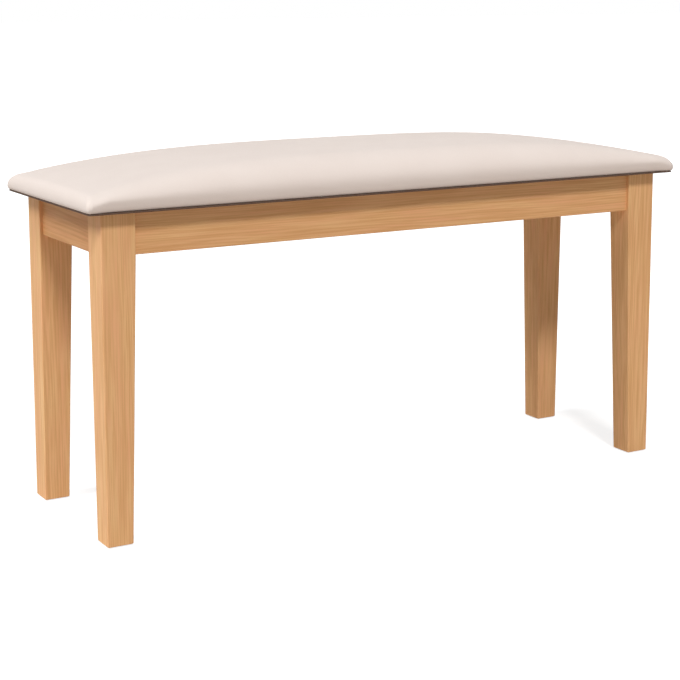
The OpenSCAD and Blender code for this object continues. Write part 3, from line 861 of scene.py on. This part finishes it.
class Skin:
    """The cover as one open sheet: over the top, round the lower edge and along the hem.

    give says how far each point may move, from nought under the board to one on the top.
    """

    def __init__(self, pad):
        self.pad = pad
        self.points = []
        self.cloth = []
        self.give = []
        grid = pad.grid
        index = {}
        flat_x = self.lengths([pad.top(i, grid.last_y // 2) for i in range(grid.last_x + 1)])
        flat_y = self.lengths([pad.top(grid.last_x // 2, j) for j in range(grid.last_y + 1)])
        for i, j in grid.points():
            index[i, j] = len(self.points)
            soft = smooth_step(grid.place(i, j)[2], 0.0, SOFT_EDGE)
            self.points.append(pad.top(i, j))
            self.cloth.append((flat_x[i], flat_y[j]))
            self.give.append(EDGE_GIVE + (1.0 - EDGE_GIVE) * soft)
        self.faces = [[index[p] for p in quad] for quad in grid.quads()]
        self.turn(index)

    @staticmethod
    def lengths(line):
        """Distances along a line, from its middle."""
        total = [0.0]
        for a, b in zip(line, line[1:]):
            total.append(total[-1] + (b - a).length)
        return [t - total[-1] / 2 for t in total]

    @staticmethod
    def levels():
        """(share of tuck, of drop and of hem, give) of the rows below the widest line."""
        for k in range(1, TURN_STEPS + 1):
            angle = math.pi / 2 * k / TURN_STEPS
            give = EDGE_GIVE * (1.0 - k / TURN_STEPS)
            yield 1.0 - math.cos(angle), math.sin(angle), 0.0, give
        for k in range(1, HEM_STEPS + 1):
            yield 1.0, 1.0, k / HEM_STEPS, 0.0

    def turn(self, index):
        """Adds the rows from the widest line down and in along the hem."""
        grid = self.pad.grid
        outline = grid.outline()
        above = [index[p] for p in outline]
        for tucked, dropped, hemmed, give in self.levels():
            row = []
            for k, (i, j) in enumerate(outline):
                x, _, _, side = grid.place(i, j)
                widest, tuck = self.pad.side_form(x, side)
                top = self.pad.base + widest
                inset = tuck * tucked + (self.pad.s.hem - tuck) * hemmed
                z = top + (COVER_LOW.z - top) * dropped
                point = Vector((*grid.drawn_in(i, j, inset), z))
                down = (point - self.points[above[k]]).length
                u, v = self.cloth[above[k]]
                out_x = (i == grid.last_x) - (i == 0)
                out_y = (j == grid.last_y) - (j == 0)
                row.append(len(self.points))
                self.points.append(point)
                self.cloth.append((u + out_x * down, v + out_y * down))
                self.give.append(give)
            for k, point in enumerate(row):
                after = (k + 1) % len(row)
                self.faces.append([above[after], above[k], point, row[after]])
            above = row

    def mesh(self, points):
        """The sheet as a mesh with its cloth map, its points at the given places."""
        made = bpy.data.meshes.new("cover_skin")
        made.from_pydata([tuple(p) for p in points], [], self.faces)
        layer = made.uv_layers.new(name=CLOTH_MAP)
        for loop in made.loops:
            layer.data[loop.index].uv = self.cloth[loop.vertex_index]
        for polygon in made.polygons:
            polygon.use_smooth = True
        return made

    def swollen(self, context):
        """Points of the cover after it has swollen out from a smaller start under pressure.

        A point swells no further than it was drawn in, so the cover ends on the pad's form.
        """
        s = self.pad.s
        mesh = self.mesh(self.points)
        normals = [n.vector.copy() for n in mesh.vertex_normals]
        caps = [max(give * s.slack, MERGE) for give in self.give]
        start = [p - n * cap for p, n, cap in zip(self.points, normals, caps)]
        mesh.vertices.foreach_set("co", [c for p in start for c in p])
        start_form = linked(context, "cover_blank", mesh)
        held = start_form.vertex_groups.new(name="held")
        for k, give in enumerate(self.give):
            held.add([k], 1.0 if give == 0.0 else HALF_HELD, "REPLACE")
        cloth = start_form.modifiers.new("cloth", "CLOTH")
        for name, value in CLOTH.items():
            setattr(cloth.settings, name, value)
        cloth.settings.vertex_group_mass = held.name
        cloth.settings.pin_stiffness = s.hold
        cloth.settings.uniform_pressure_force = s.pressure
        cloth.settings.effector_weights.gravity = 0.0
        cloth.collision_settings.use_collision = False
        cloth.point_cache.frame_start = 1
        cloth.point_cache.frame_end = s.steps
        for step in range(1, s.steps + 1):
            context.scene.frame_set(step)
        depsgraph = context.evaluated_depsgraph_get()
        moved = start_form.evaluated_get(depsgraph).data.vertices
        ended = []
        for before, after, normal, cap in zip(start, moved, normals, caps):
            swell = max(0.0, (after.co - before).dot(normal))
            ended.append(before + normal * (cap * math.tanh(swell / cap)))
        bpy.data.objects.remove(start_form)
        bpy.data.meshes.remove(mesh)
        context.scene.frame_set(1)
        return ended


class BENCH_OT_timber(bpy.types.Operator):
    """Finishes the legs, rails, corner blocks, batten and board"""

    bl_idname = "bench.timber"
    bl_label = "Finish the timber"

    def execute(self, context):
        s = context.scene.bench_timber
        oak = (s.light, s.dark, s.blush)
        inner = (s.inner_light, s.inner_dark, s.inner_light)
        for name, pith in zip(("front_left", "front_right", "back_left", "back_right"), PITHS):
            self.saw(f"leg_{name}", f"oak_leg_{name}", oak, (0, 0, 1), pith)
            block = f"corner_block_{name}"
            centre = middle(block)
            across = (1.0, -1.0 if centre.x * centre.y > 0 else 1.0, 0.0)
            self.saw(block, f"inner_{block}", inner, across, pith[::-1])
        rails = {"front": (1, 0, 0), "back": (1, 0, 0), "left": (0, 1, 0), "right": (0, 1, 0)}
        for (name, along), (pith_x, pith_y) in zip(rails.items(), PITHS):
            # The end rails' darker colour is partly painted shade for the shade under the pad's
            # overhang
            tone = Vector(s.rail_tone if along[0] else s.end_tone_and_shade)
            toned = [Vector(shade) * tone for shade in oak]
            pith = (pith_y + RAIL_PITH, pith_x)
            self.saw(f"rail_{name}", f"oak_rail_{name}", toned, along, pith)
        self.saw("centre_batten", "inner_batten", inner, (0, 1, 0), BATTEN_PITH)
        finish_node("seat_board", plywood(s))
        return {"FINISHED"}

    @staticmethod
    def saw(node, name, colours, along, pith):
        """Gives a node wood of its own, cut along a direction."""
        timber = bpy.context.scene.bench_timber
        finish_node(node, wood(name, timber, colours, middle(node), along, pith))


class BENCH_OT_cover(bpy.types.Operator):
    """Stretches the cover over its form, and turns its hem under the board"""

    bl_idname = "bench.cover"
    bl_label = "Stretch the cover"

    def execute(self, context):
        s = context.scene.bench_cover
        pad = Pad(s, s.mesh_step)
        skin = Skin(pad)
        points = skin.swollen(context)
        mesh = self.finer(skin.mesh(points))
        self.gathers(mesh, pad)
        piece = new_piece("stretched_cover", mesh, cover_cloth(s), "cover_fabric", "seat_cover")
        wall = piece.modifiers.new("thickness", "SOLIDIFY")
        wall.thickness = s.thickness
        wall.offset = -1.0
        settle(piece)
        return {"FINISHED"}

    @staticmethod
    def finer(mesh):
        """The mesh after one smooth subdivision."""
        helper = linked(bpy.context, "cover_helper", mesh)
        smooth = helper.modifiers.new("smooth", "SUBSURF")
        smooth.levels = 1
        smooth.render_levels = 1
        settle(helper)
        made = helper.data
        bpy.data.objects.remove(helper)
        return made

    @staticmethod
    def gathers(mesh, pad):
        """Small folds where the cloth is pulled round the lower corners."""
        s = pad.s
        low = pad.base + 0.25 * s.side_h
        high = pad.base + 2.0 * s.side_h
        normals = [n.vector.copy() for n in mesh.vertex_normals]
        for vertex, normal in zip(mesh.vertices, normals):
            x, y, z = vertex.co
            out_x = abs(x) - COVER_HIGH.x + s.gather_reach
            out_y = abs(y) - COVER_HIGH.y + s.gather_reach
            if min(out_x, out_y) <= 0.0 or z > high or z <= COVER_LOW.z:
                continue
            angle = math.atan2(out_y, out_x)
            fold = 0.5 + 0.5 * math.cos(4 * s.gather_count * angle)
            fade = math.sin(2 * angle) ** 2 * (1.0 - smooth_step(z, low, high))
            vertex.co -= normal * (s.gather * fold * fade)


class BENCH_OT_foam(bpy.types.Operator):
    """Cuts the foam that fills the cover and lies flat on the board"""

    bl_idname = "bench.foam"
    bl_label = "Cut the foam"

    def execute(self, context):
        s = context.scene.bench_cover
        pad = Pad(s, 2 * s.mesh_step)
        low = BOARD_HIGH.z
        inside = s.thickness + s.foam_gap
        points, above, below = [], {}, {}
        outline = set(pad.grid.outline())
        for i, j in pad.grid.points():
            top = pad.top(i, j, inside, low)
            above[i, j] = below[i, j] = len(points)
            points.append(top)
            if (i, j) not in outline:
                below[i, j] = len(points)
                points.append(Vector((top.x, top.y, low)))
        mesh = mesh_of("seat_foam_block", points, pad.grid.both_sides(above, below))
        piece = new_piece("foam_block", mesh, open_foam(s), "foam", "seat_foam")
        return {"FINISHED"}


class BENCH_OT_lining(bpy.types.Operator):
    """Lays the felt lining under the seat and staples it and the hem to the board"""

    bl_idname = "bench.lining"
    bl_label = "Line the underside"

    def execute(self, context):
        s = context.scene.bench_lining
        cover_corner = context.scene.bench_cover.corner
        felt_in = COVER_HIGH.x - LINING_HIGH.x
        corner = max(cover_corner - felt_in, LEAST_RADIUS)
        grid = SeatGrid(LINING_HIGH.x, LINING_HIGH.y, corner, s.mesh_step)
        felt = pressed_felt(s)
        piece = new_piece("felt_lining", self.plate(grid, s), felt, "lining_cloth", "seat_lining")
        steel = plated_steel()
        staple = linked(context, "staple", self.staple(s))
        rows = (
            ("lining_staples", felt_in + s.staple_in, LINING_LOW.z, s.staple_gap),
            ("hem_staples", s.hem_staple_in, COVER_LOW.z, s.hem_gap),
        )
        outer = SeatGrid(COVER_HIGH.x, COVER_HIGH.y, cover_corner, s.mesh_step)
        for seed, (name, inset, z, gap) in enumerate(rows):
            height = z + s.wire / 4
            ring = [(*outer.drawn_in(i, j, inset), height) for i, j in outer.outline()]
            values = {
                "Template": staple, "Pitch": gap, "Turn": s.staple_turn, "Seed": seed,
                "Material": steel,
            }
            mesh = grown(context, name, closed_line(name, ring), staple_row(), values)
            new_piece(name, mesh, steel, "zinc_steel")
        bpy.data.objects.remove(staple)
        return {"FINISHED"}

    @staticmethod
    def plate(grid, s):
        """Closed felt plate with rounded edges and a softly uneven underside."""
        low, high = LINING_LOW.z, LINING_HIGH.z
        half = (high - low) / 2
        points, above, below = [], {}, {}
        for i, j in grid.points():
            x, y, inset, _ = grid.place(i, j)
            left = 1.0 - min(1.0, inset / half)
            bulge = half * math.sqrt(1.0 - 0.8 * left * left)
            inner = smooth_step(inset, 0.04, 0.09)
            wave = 0.5 + 0.5 * math.sin(23.0 * x + 4.0 * math.sin(17.0 * y))
            above[i, j] = len(points)
            points.append(Vector((x, y, low + half + bulge)))
            below[i, j] = len(points)
            points.append(Vector((x, y, low + half - bulge + s.uneven * inner * wave)))
        faces = grid.both_sides(above, below)
        ring = grid.outline()
        for p, after in zip(ring, ring[1:] + ring[:1]):
            faces.append([below[p], below[after], above[after], above[p]])
        return mesh_of("felt_plate", points, faces, SHARP_FELT)

    @staticmethod
    def staple(s):
        """One staple, its crown along X and its legs upwards."""
        half = s.crown / 2
        bend = s.wire
        path = [
            (-half, s.leg), (-half, bend), (-half + 0.3 * bend, 0.3 * bend), (-half + bend, 0.0),
            (half - bend, 0.0), (half - 0.3 * bend, 0.3 * bend), (half, bend), (half, s.leg),
        ]
        points, faces, rings = [], [], []
        for k, (x, z) in enumerate(path):
            x0, z0 = path[max(k - 1, 0)]
            x1, z1 = path[min(k + 1, len(path) - 1)]
            along = Vector((x1 - x0, 0.0, z1 - z0)).normalized()
            out = Vector((along.z, 0.0, -along.x))
            ring = []
            for side in range(WIRE_SIDES):
                angle = FULL_TURN * side / WIRE_SIDES
                ring.append(len(points))
                offset = out * math.cos(angle) + Vector((0.0, 1.0, 0.0)) * math.sin(angle)
                points.append(Vector((x, 0.0, z)) + offset * (s.wire / 2))
            rings.append(ring)
        for a, b in zip(rings, rings[1:]):
            for k in range(WIRE_SIDES):
                after = (k + 1) % WIRE_SIDES
                faces.append([a[k], a[after], b[after], b[k]])
        faces += [rings[0][::-1], rings[-1]]
        return mesh_of("staple", points, faces)


# Fastenings


def turned(name, rows, steps, carve=None, loop=False):
    """A shape turned about Z from rows of (radius, z). carve(radius, z, angle) may move a point."""
    points, faces, rings = [], [], []
    for radius, z in rows:
        ring = []
        for k in range(steps if radius else 1):
            angle = FULL_TURN * k / steps
            r, h = carve(radius, z, angle) if carve else (radius, z)
            ring.append(len(points))
            points.append((r * math.cos(angle), r * math.sin(angle), h))
        rings.append(ring)
    pairs = list(zip(rings, rings[1:])) + ([(rings[-1], rings[0])] if loop else [])
    for a, b in pairs:
        for k in range(steps):
            after = (k + 1) % steps
            corners = (a[k % len(a)], a[after % len(a)], b[after % len(b)], b[k % len(b)])
            faces.append(list(dict.fromkeys(corners)))
    return mesh_of(name, points, faces, SHARP_METAL)


def threaded(radius, z, angle, pitch, depth):
    """Radius of a thread's surface."""
    turn = (z / pitch - angle / FULL_TURN) % 1.0
    return radius - depth * abs(2.0 * turn - 1.0)


def thread_rows(radius, low, high, gap):
    """Rows of (radius, z) from low to high, no further apart than the gap."""
    steps = max(1, math.ceil((high - low) / gap))
    return [(radius, low + (high - low) * k / steps) for k in range(steps + 1)]


def wood_screw(s, length):
    """Countersunk screw with a cross recess: its head's face at z = 0, its tip upwards."""
    core = SCREW_CORE * s.screw_r
    slot_r = SLOT_REACH * s.head_r
    slot_h = SLOT_DEPTH * s.head_h
    start = s.head_h + SHANK * (length - s.head_h)
    tip = length - 2 * s.screw_r
    rows = [(r, 0.0) for r in (0.0, 0.3 * slot_r, slot_r, 1.15 * slot_r, s.head_r)]
    rows += [(s.head_r, 0.15 * s.head_h), (core, s.head_h)]
    rows += thread_rows(s.screw_r, start, tip, s.screw_pitch / 6)
    rows += [(0.5 * core, length - 0.5 * s.screw_r), (0.0, length)]

    def carve(radius, z, angle):
        if z == 0.0 and radius <= slot_r:
            arm = abs(math.sin(2 * angle)) < SLOT_WIDTH
            return radius, slot_h if arm or radius < 0.4 * slot_r else 0.0
        if start <= z <= tip:
            grow = min(1.0, (z - start) / s.screw_pitch)
            outer = threaded(s.screw_r, z, angle, s.screw_pitch, s.screw_r - core)
            return core + (outer - core) * grow, z
        return radius, z

    return turned("wood_screw", rows, 24, carve)


def hanger_bolt(s, length):
    """Wood thread from the tip at z = 0, a plain middle and a machine thread at the other end."""
    core = BOLT_CORE * s.bolt_r
    metal = s.bolt_leg + BOLT_PLAIN
    rows = [(0.0, 0.0), (0.3 * s.bolt_r, 0.25 * s.bolt_tip)]
    rows += thread_rows(s.bolt_r, s.bolt_tip, s.bolt_leg, s.screw_pitch / 5)
    rows += thread_rows(s.bolt_r, metal, length - s.bolt_pitch, s.bolt_pitch / 4)
    rows += [(0.75 * s.bolt_r, length), (0.0, length)]

    def carve(radius, z, angle):
        if s.bolt_tip <= z < s.bolt_leg:
            return threaded(radius, z, angle, WOOD_THREAD * s.screw_pitch, s.bolt_r - core), z
        if metal < z < length:
            return threaded(radius, z, angle, s.bolt_pitch, METAL_THREAD * s.bolt_pitch), z
        return radius, z

    return turned("hanger_bolt", rows, 20, carve)


def hex_nut(s):
    """Chamfered nut round its middle."""
    half = s.nut_h / 2
    hole = s.bolt_r + NUT_CLEARANCE
    mouth = hole + NUT_COUNTERSINK
    across = s.nut_flats / math.sqrt(3.0)
    edge = CHAMFER * across
    edge_h = CHAMFER_H * half
    outer = [(edge, -half), (across, -edge_h), (across, edge_h), (edge, half)]
    inner = [(mouth, half), (hole, 0.8 * half), (hole, -0.8 * half), (mouth, -half)]

    def carve(radius, z, angle):
        if radius < 0.8 * across:
            return radius, z
        flat = s.nut_flats / 2 / math.cos((angle + math.pi / 6) % (math.pi / 3) - math.pi / 6)
        return min(radius, flat), z

    return turned("hex_nut", outer + inner, 36, carve, loop=True)


def plain_washer(s):
    """Washer with eased edges, round its middle."""
    half = s.washer_t / 2
    edge = 0.25 * half
    hole = s.bolt_r + WASHER_CLEARANCE
    rim = s.washer_r - edge
    outer = [(rim, -half), (s.washer_r, edge - half), (s.washer_r, half - edge), (rim, half)]
    return turned("plain_washer", outer + [(hole, half), (hole, -half)], 32, loop=True)


def fluted_dowel(s, length):
    """Dowel with its flutes and its rounded-over ends, from z = 0."""
    end = s.dowel_end
    low = [(0.0, 0.0), (s.dowel_r - end, 0.0), (s.dowel_r - 0.3 * end, 0.3 * end)]
    low += [(s.dowel_r, end), (s.dowel_r, 1.2 * end)]
    high = [(r, length - z) for r, z in reversed(low)]

    def carve(radius, z, angle):
        plain = z <= end or z >= length - end
        wave = 0.5 + 0.5 * math.cos(DOWEL_FLUTES * angle)
        return radius if plain else radius - s.flute * wave, z

    return turned("fluted_dowel", low + high, 24, carve)


def nailed_glide(s):
    """Round glide with a rounded rim, a sunk nail head and the nail upwards."""
    rim = s.glide_rim
    nail_top = s.glide_h + s.nail_l
    rows = [(0.0, 0.0005), (0.0025, 0.0007), (0.0034, 0.0012), (0.0042, 0.0012), (0.0046, 0.0)]
    for k in range(GLIDE_RIM_STEPS + 1):
        angle = math.pi / 2 * k / GLIDE_RIM_STEPS
        rows.append((s.glide_r - rim + rim * math.sin(angle), rim - rim * math.cos(angle)))
    rows += [(s.glide_r, s.glide_h), (s.nail_r, s.glide_h)]
    rows += [(s.nail_r, nail_top - 2 * s.nail_r), (0.0, nail_top)]
    return turned("nailed_glide", rows, 32)


def solids_of(node):
    """Lowest and highest corner of each separate solid of a node."""
    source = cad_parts[node]
    work = bmesh.new()
    work.from_mesh(source.data)
    work.transform(source.matrix_world)
    bmesh.ops.remove_doubles(work, verts=work.verts, dist=MERGE)
    found, seen = [], set()
    for first in work.verts:
        if first in seen:
            continue
        seen.add(first)
        island = [first]
        for vertex in island:
            for edge in vertex.link_edges:
                other = edge.other_vert(vertex)
                if other not in seen:
                    seen.add(other)
                    island.append(other)
        low = Vector(min(v.co[axis] for v in island) for axis in range(3))
        high = Vector(max(v.co[axis] for v in island) for axis in range(3))
        found.append((low, high))
    work.free()
    return found


def outermost(low, high):
    """Corner of a box that lies furthest from the middle of the bench, at the box's mid height."""
    x = high.x if high.x + low.x > 0 else low.x
    y = high.y if high.y + low.y > 0 else low.y
    return Vector((x, y, (low.z + high.z) / 2))


def along_longest(low, high):
    """(start, direction) of what lies along a box's longest side, its end away from the middle."""
    size = high - low
    axis = max(range(3), key=lambda k: size[k])
    centre = (low + high) / 2
    way = Vector((0.0, 0.0, 0.0))
    way[axis] = 1.0 if centre[axis] > 0 else -1.0
    return centre - way * size[axis] / 2, way


def copying_tree(name, *sizes):
    """Start of a geometry tree that copies a template, with its own sizes as named inputs."""
    inputs = [
        ("Geometry", "Geometry"), ("Template", "Object"), *sizes,
        ("Seed", "Int", 0), ("Material", "Material"),
    ]
    return group(name, "GeometryNodeTree", inputs, [("Geometry", "Geometry")])


def copied(tree, into, out, points, aim, most):
    """End of such a tree: a copy on each point, aimed, turned at random and made real."""
    ends = {"Seed": into.outputs["Seed"], 2: times(tree, most, -1.0), 3: most}
    chance = add(tree, "FunctionNodeRandomValue", ends, data_type="FLOAT").outputs[1]
    turn = add(tree, "FunctionNodeAxisAngleToRotation", {"Axis": UP, "Angle": chance}).outputs[0]
    set_to = add(
        tree, "FunctionNodeRotateRotation", {"Rotation": aim, "Rotate By": turn},
        rotation_space="LOCAL",
    ).outputs[0]
    shape = add(tree, "GeometryNodeObjectInfo", {"Object": into.outputs["Template"]})
    copies = add(
        tree, "GeometryNodeInstanceOnPoints",
        {"Points": points, "Instance": shape.outputs["Geometry"], "Rotation": set_to},
    ).outputs[0]
    real = add(tree, "GeometryNodeRealizeInstances", {"Geometry": copies}).outputs[0]
    finish = {"Geometry": real, "Material": into.outputs["Material"]}
    done = add(tree, "GeometryNodeSetMaterial", finish).outputs[0]
    tree.links.new(done, out.inputs[0])
    return tree


@once
def at_points():
    """Copies of a template at points, each turned to its own axis and spun about it."""
    tree, into, out = copying_tree("fastenings_at_points", ("Spin", "Float", math.pi))
    axis = add(
        tree, "GeometryNodeInputNamedAttribute", {"Name": AXIS}, data_type="FLOAT_VECTOR"
    ).outputs[0]
    aim = add(tree, "FunctionNodeAlignRotationToVector", {"Vector": axis}, axis="Z").outputs[0]
    return copied(tree, into, out, into.outputs["Geometry"], aim, into.outputs["Spin"])


@once
def staple_row():
    """Copies of a template along a closed line, each along the line with a small random turn."""
    tree, into, out = copying_tree(
        "staples_along_line", ("Pitch", "Float", 0.04), ("Turn", "Float", 0.05)
    )
    line = add(tree, "GeometryNodeMeshToCurve", {"Mesh": into.outputs["Geometry"]}).outputs[0]
    even = add(
        tree, "GeometryNodeResampleCurve", {"Curve": line, "Length": into.outputs["Pitch"]},
        mode="LENGTH",
    ).outputs[0]
    tangent = add(tree, "GeometryNodeInputTangent").outputs[0]
    aim = add(
        tree, "FunctionNodeAlignRotationToVector", {"Vector": tangent}, axis="X", pivot_axis="Z"
    ).outputs[0]
    return copied(tree, into, out, even, aim, into.outputs["Turn"])


def closed_line(name, points):
    """Mesh of edges round a ring of points."""
    mesh = bpy.data.meshes.new(name)
    mesh.from_pydata(points, [(k, (k + 1) % len(points)) for k in range(len(points))], [])
    return mesh


def axis_points(name, places):
    """Mesh of single points, each with the direction that its copy takes."""
    mesh = bpy.data.meshes.new(name)
    mesh.from_pydata([tuple(where) for where, _ in places], [], [])
    layer = mesh.attributes.new(AXIS, "FLOAT_VECTOR", "POINT")
    for k, (_, way) in enumerate(places):
        layer.data[k].vector = way
    return mesh


def grown(context, name, mesh, tree, values):
    """Plain mesh that a geometry tree makes from a mesh."""
    helper = bpy.data.objects.new(f"{name}_points", mesh)
    modifier = helper.modifiers.new("grow", "NODES")
    modifier.node_group = tree
    for item in tree.interface.items_tree:
        if item.in_out == "INPUT" and item.name in values:
            modifier[item.identifier] = values[item.name]
    context.scene.collection.objects.link(helper)
    settle(helper)
    made = helper.data
    made.name = name
    bpy.data.objects.remove(helper)
    tidy(made, SHARP_METAL)
    return made


class BENCH_OT_fastenings(bpy.types.Operator):
    """Makes the bolts, nuts, washers, screws, dowels and glides at the frame's own places"""

    bl_idname = "bench.fastenings"
    bl_label = "Make the fastenings"

    def execute(self, context):
        s = context.scene.bench_fastenings
        steel = (plated_steel(), "zinc_steel")
        nylon = (moulded_nylon(s), "glide_nylon")
        timber = context.scene.bench_timber
        beech_colours = (timber.beech_light, timber.beech_dark, timber.beech_light)
        grain = wood("beech_dowels", timber, beech_colours, Vector(), (1, 0, 0), DOWEL_PITH)
        beech = (grain, "dowel_beech")
        nuts = [(low + high) / 2 for low, high in solids_of("bolt_nuts")]
        washers = [(low + high) / 2 for low, high in solids_of("bolt_washers")]
        tips = [outermost(low, high) for low, high in solids_of("hanger_bolts")]
        feet = [
            Vector(((low.x + high.x) / 2, (low.y + high.y) / 2, low.z))
            for low, high in solids_of("foot_glides")
        ]
        reach = min((nut - tips[0]).length for nut in nuts)
        bolt = hanger_bolt(s, reach + s.nut_h / 2 + s.bolt_past)
        rows = [
            ("threaded_hanger_bolts", "hanger_bolts", bolt, self.inwards(tips), steel),
            ("hex_nuts", "bolt_nuts", hex_nut(s), self.inwards(nuts), steel),
            ("plain_washers", "bolt_washers", plain_washer(s), self.inwards(washers), steel),
            ("nailed_glides", "foot_glides", nailed_glide(s), [(p, UP) for p in feet], nylon),
        ]
        for node in ("block_screws", "seat_screws", "batten_screws"):
            rows.append(self.lengthways(node, wood_screw, s, steel))
        for node in ("rail_dowels", "batten_dowels"):
            rows.append(self.lengthways(node, fluted_dowel, s, beech))
        for name, node, shape, places, (material, slot) in rows:
            pattern = linked(context, shape.name, shape)
            values = {
                "Template": pattern, "Spin": math.pi, "Seed": len(name), "Material": material
            }
            mesh = grown(context, name, axis_points(name, places), at_points(), values)
            bpy.data.objects.remove(pattern)
            new_piece(name, mesh, material, slot, node)
        return {"FINISHED"}

    @staticmethod
    def inwards(points):
        """Places of pieces that point from a corner of the frame to its middle, on the diagonal."""
        places = []
        for point in points:
            way = Vector((-math.copysign(1.0, point.x), -math.copysign(1.0, point.y), 0.0))
            places.append((point, way.normalized()))
        return places

    @staticmethod
    def lengthways(node, maker, s, finish):
        """Name, node, shape, places and finish of pieces that lie along their own boxes."""
        boxes = solids_of(node)
        low, high = boxes[0]
        places = [along_longest(*box) for box in boxes]
        return f"finished_{node}", node, maker(s, max(high - low)), places, finish


class BENCH_OT_stage(bpy.types.Operator):
    """Sets up the camera, the floor and the lamps"""

    bl_idname = "bench.stage"
    bl_label = "Set the stage"

    def execute(self, context):
        s = context.scene.bench_stage
        self.camera(context, s)
        self.floor(context, s)
        self.lamps(context, s)
        context.scene.view_settings.view_transform = "Standard"
        return {"FINISHED"}

    def camera(self, context, s):
        """Sets the camera where the picture was taken from."""
        data = bpy.data.cameras.new("camera")
        data.lens = s.lens
        data.sensor_width = SENSOR
        data.shift_y = s.shift
        data.clip_start = NEAREST
        data.clip_end = FURTHEST
        camera = bpy.data.objects.new("camera", data)
        context.scene.collection.objects.link(camera)
        tilt = Matrix.Rotation(math.pi / 2 - s.pitch, 4, "X")
        turn = Matrix.Rotation(s.azimuth, 4, "Z") @ tilt @ Matrix.Rotation(s.roll, 4, "Z")
        camera.matrix_world = Matrix.Translation(s.place) @ turn
        context.scene.camera = camera

    def floor(self, context, s):
        """Lays a floor that is white for the camera and plain for the light it throws back."""
        half = s.floor_size / 2
        corners = [(-half, -half, 0.0), (half, -half, 0.0), (half, half, 0.0), (-half, half, 0.0)]
        mesh = bpy.data.meshes.new("floor")
        mesh.from_pydata(corners, [], [(0, 1, 2, 3)])
        made = bpy.data.materials.new("floor")
        made.use_nodes = True
        tree = made.node_tree
        tree.nodes.clear()
        shown = blend(tree, seen_white(tree, 1.0), rgba(s.floor), rgba(s.floor_seen))
        matt = add(tree, "ShaderNodeBsdfDiffuse", {"Color": shown})
        glow = add(tree, "ShaderNodeEmission", {"Strength": seen_white(tree, s.floor_white)})
        both = add(tree, "ShaderNodeAddShader", {0: matt.outputs[0], 1: glow.outputs[0]})
        add(tree, "ShaderNodeOutputMaterial", {"Surface": both.outputs[0]})
        mesh.materials.append(made)
        floor = bpy.data.objects.new("floor", mesh)
        context.scene.collection.objects.link(floor)

    def lamps(self, context, s):
        """Hangs the two lamps and lights the world."""
        for name in ("front", "left"):
            turn, height = getattr(s, f"{name}_turn"), getattr(s, f"{name}_height")
            level = math.cos(height)
            towards = Vector((-math.sin(turn) * level, -math.cos(turn) * level, math.sin(height)))
            data = bpy.data.lights.new(f"{name}_lamp", "SUN")
            data.energy = getattr(s, f"{name}_lamp")
            data.angle = getattr(s, f"{name}_softness")
            data.color = getattr(s, f"{name}_tint")
            lamp = bpy.data.objects.new(f"{name}_lamp", data)
            lamp.rotation_mode = "QUATERNION"
            lamp.rotation_quaternion = towards.to_track_quat("Z", "Y")
            lamp.location = LAMP_DISTANCE * towards
            context.scene.collection.objects.link(lamp)
        world = bpy.data.worlds.new("studio")
        world.use_nodes = True
        tree = world.node_tree
        tree.nodes.clear()
        seen = seen_white(tree, 1.0)
        unseen = maths(tree, "SUBTRACT", 1.0, seen)
        strength = plus(tree, seen, times(tree, unseen, s.sky))
        sky = add(tree, "ShaderNodeBackground", {"Color": (1, 1, 1, 1), "Strength": strength})
        add(tree, "ShaderNodeOutputWorld", {"Surface": sky.outputs[0]})
        context.scene.world = world


def seen_white(tree, strength):
    """Strength where the camera looks, also through gloss and glass, and none elsewhere."""
    path = add(tree, "ShaderNodeLightPath")
    straight = maths(tree, "MAXIMUM", path.outputs["Is Camera Ray"], path.outputs["Is Glossy Ray"])
    seen = maths(tree, "MAXIMUM", straight, path.outputs["Is Transmission Ray"])
    return times(tree, seen, strength)


class BENCH_PT_panel(bpy.types.Panel):
    """Sizes and steps of the bench"""

    bl_idname = "BENCH_PT_panel"
    bl_label = "Upholstered oak bench"
    bl_space_type = "VIEW_3D"
    bl_region_type = "UI"
    bl_category = "Bench"

    def draw(self, context):
        """Shows each group's sizes, then the steps."""
        for attribute, group_class in GROUPS.items():
            box = self.layout.box()
            box.label(text=group_class.__doc__.split(".")[0])
            for name in group_class.__annotations__:
                box.prop(getattr(context.scene, attribute), name)
        for operator in OPERATORS:
            self.layout.operator(operator.bl_idname)


GROUPS = {
    "bench_timber": BENCH_PG_timber,
    "bench_cover": BENCH_PG_cover,
    "bench_lining": BENCH_PG_lining,
    "bench_fastenings": BENCH_PG_fastenings,
    "bench_stage": BENCH_PG_stage,
}
OPERATORS = (
    BENCH_OT_stage,
    BENCH_OT_timber,
    BENCH_OT_cover,
    BENCH_OT_foam,
    BENCH_OT_lining,
    BENCH_OT_fastenings,
)


def register():
    """Makes the sizes and steps known to Blender."""
    for cls in (*GROUPS.values(), *OPERATORS, BENCH_PT_panel):
        bpy.utils.register_class(cls)
    for attribute, group_class in GROUPS.items():
        setattr(bpy.types.Scene, attribute, PointerProperty(type=group_class))


def unregister():
    """Takes the sizes and steps away again."""
    for attribute in GROUPS:
        delattr(bpy.types.Scene, attribute)
    for cls in (BENCH_PT_panel, *reversed(OPERATORS), *reversed(tuple(GROUPS.values()))):
        bpy.utils.unregister_class(cls)


def main():
    """Makes the bench."""
    register()
    for operator in OPERATORS:
        family, name = operator.bl_idname.split(".")
        getattr(getattr(bpy.ops, family), name)()


if __name__ == "__main__":
    main()
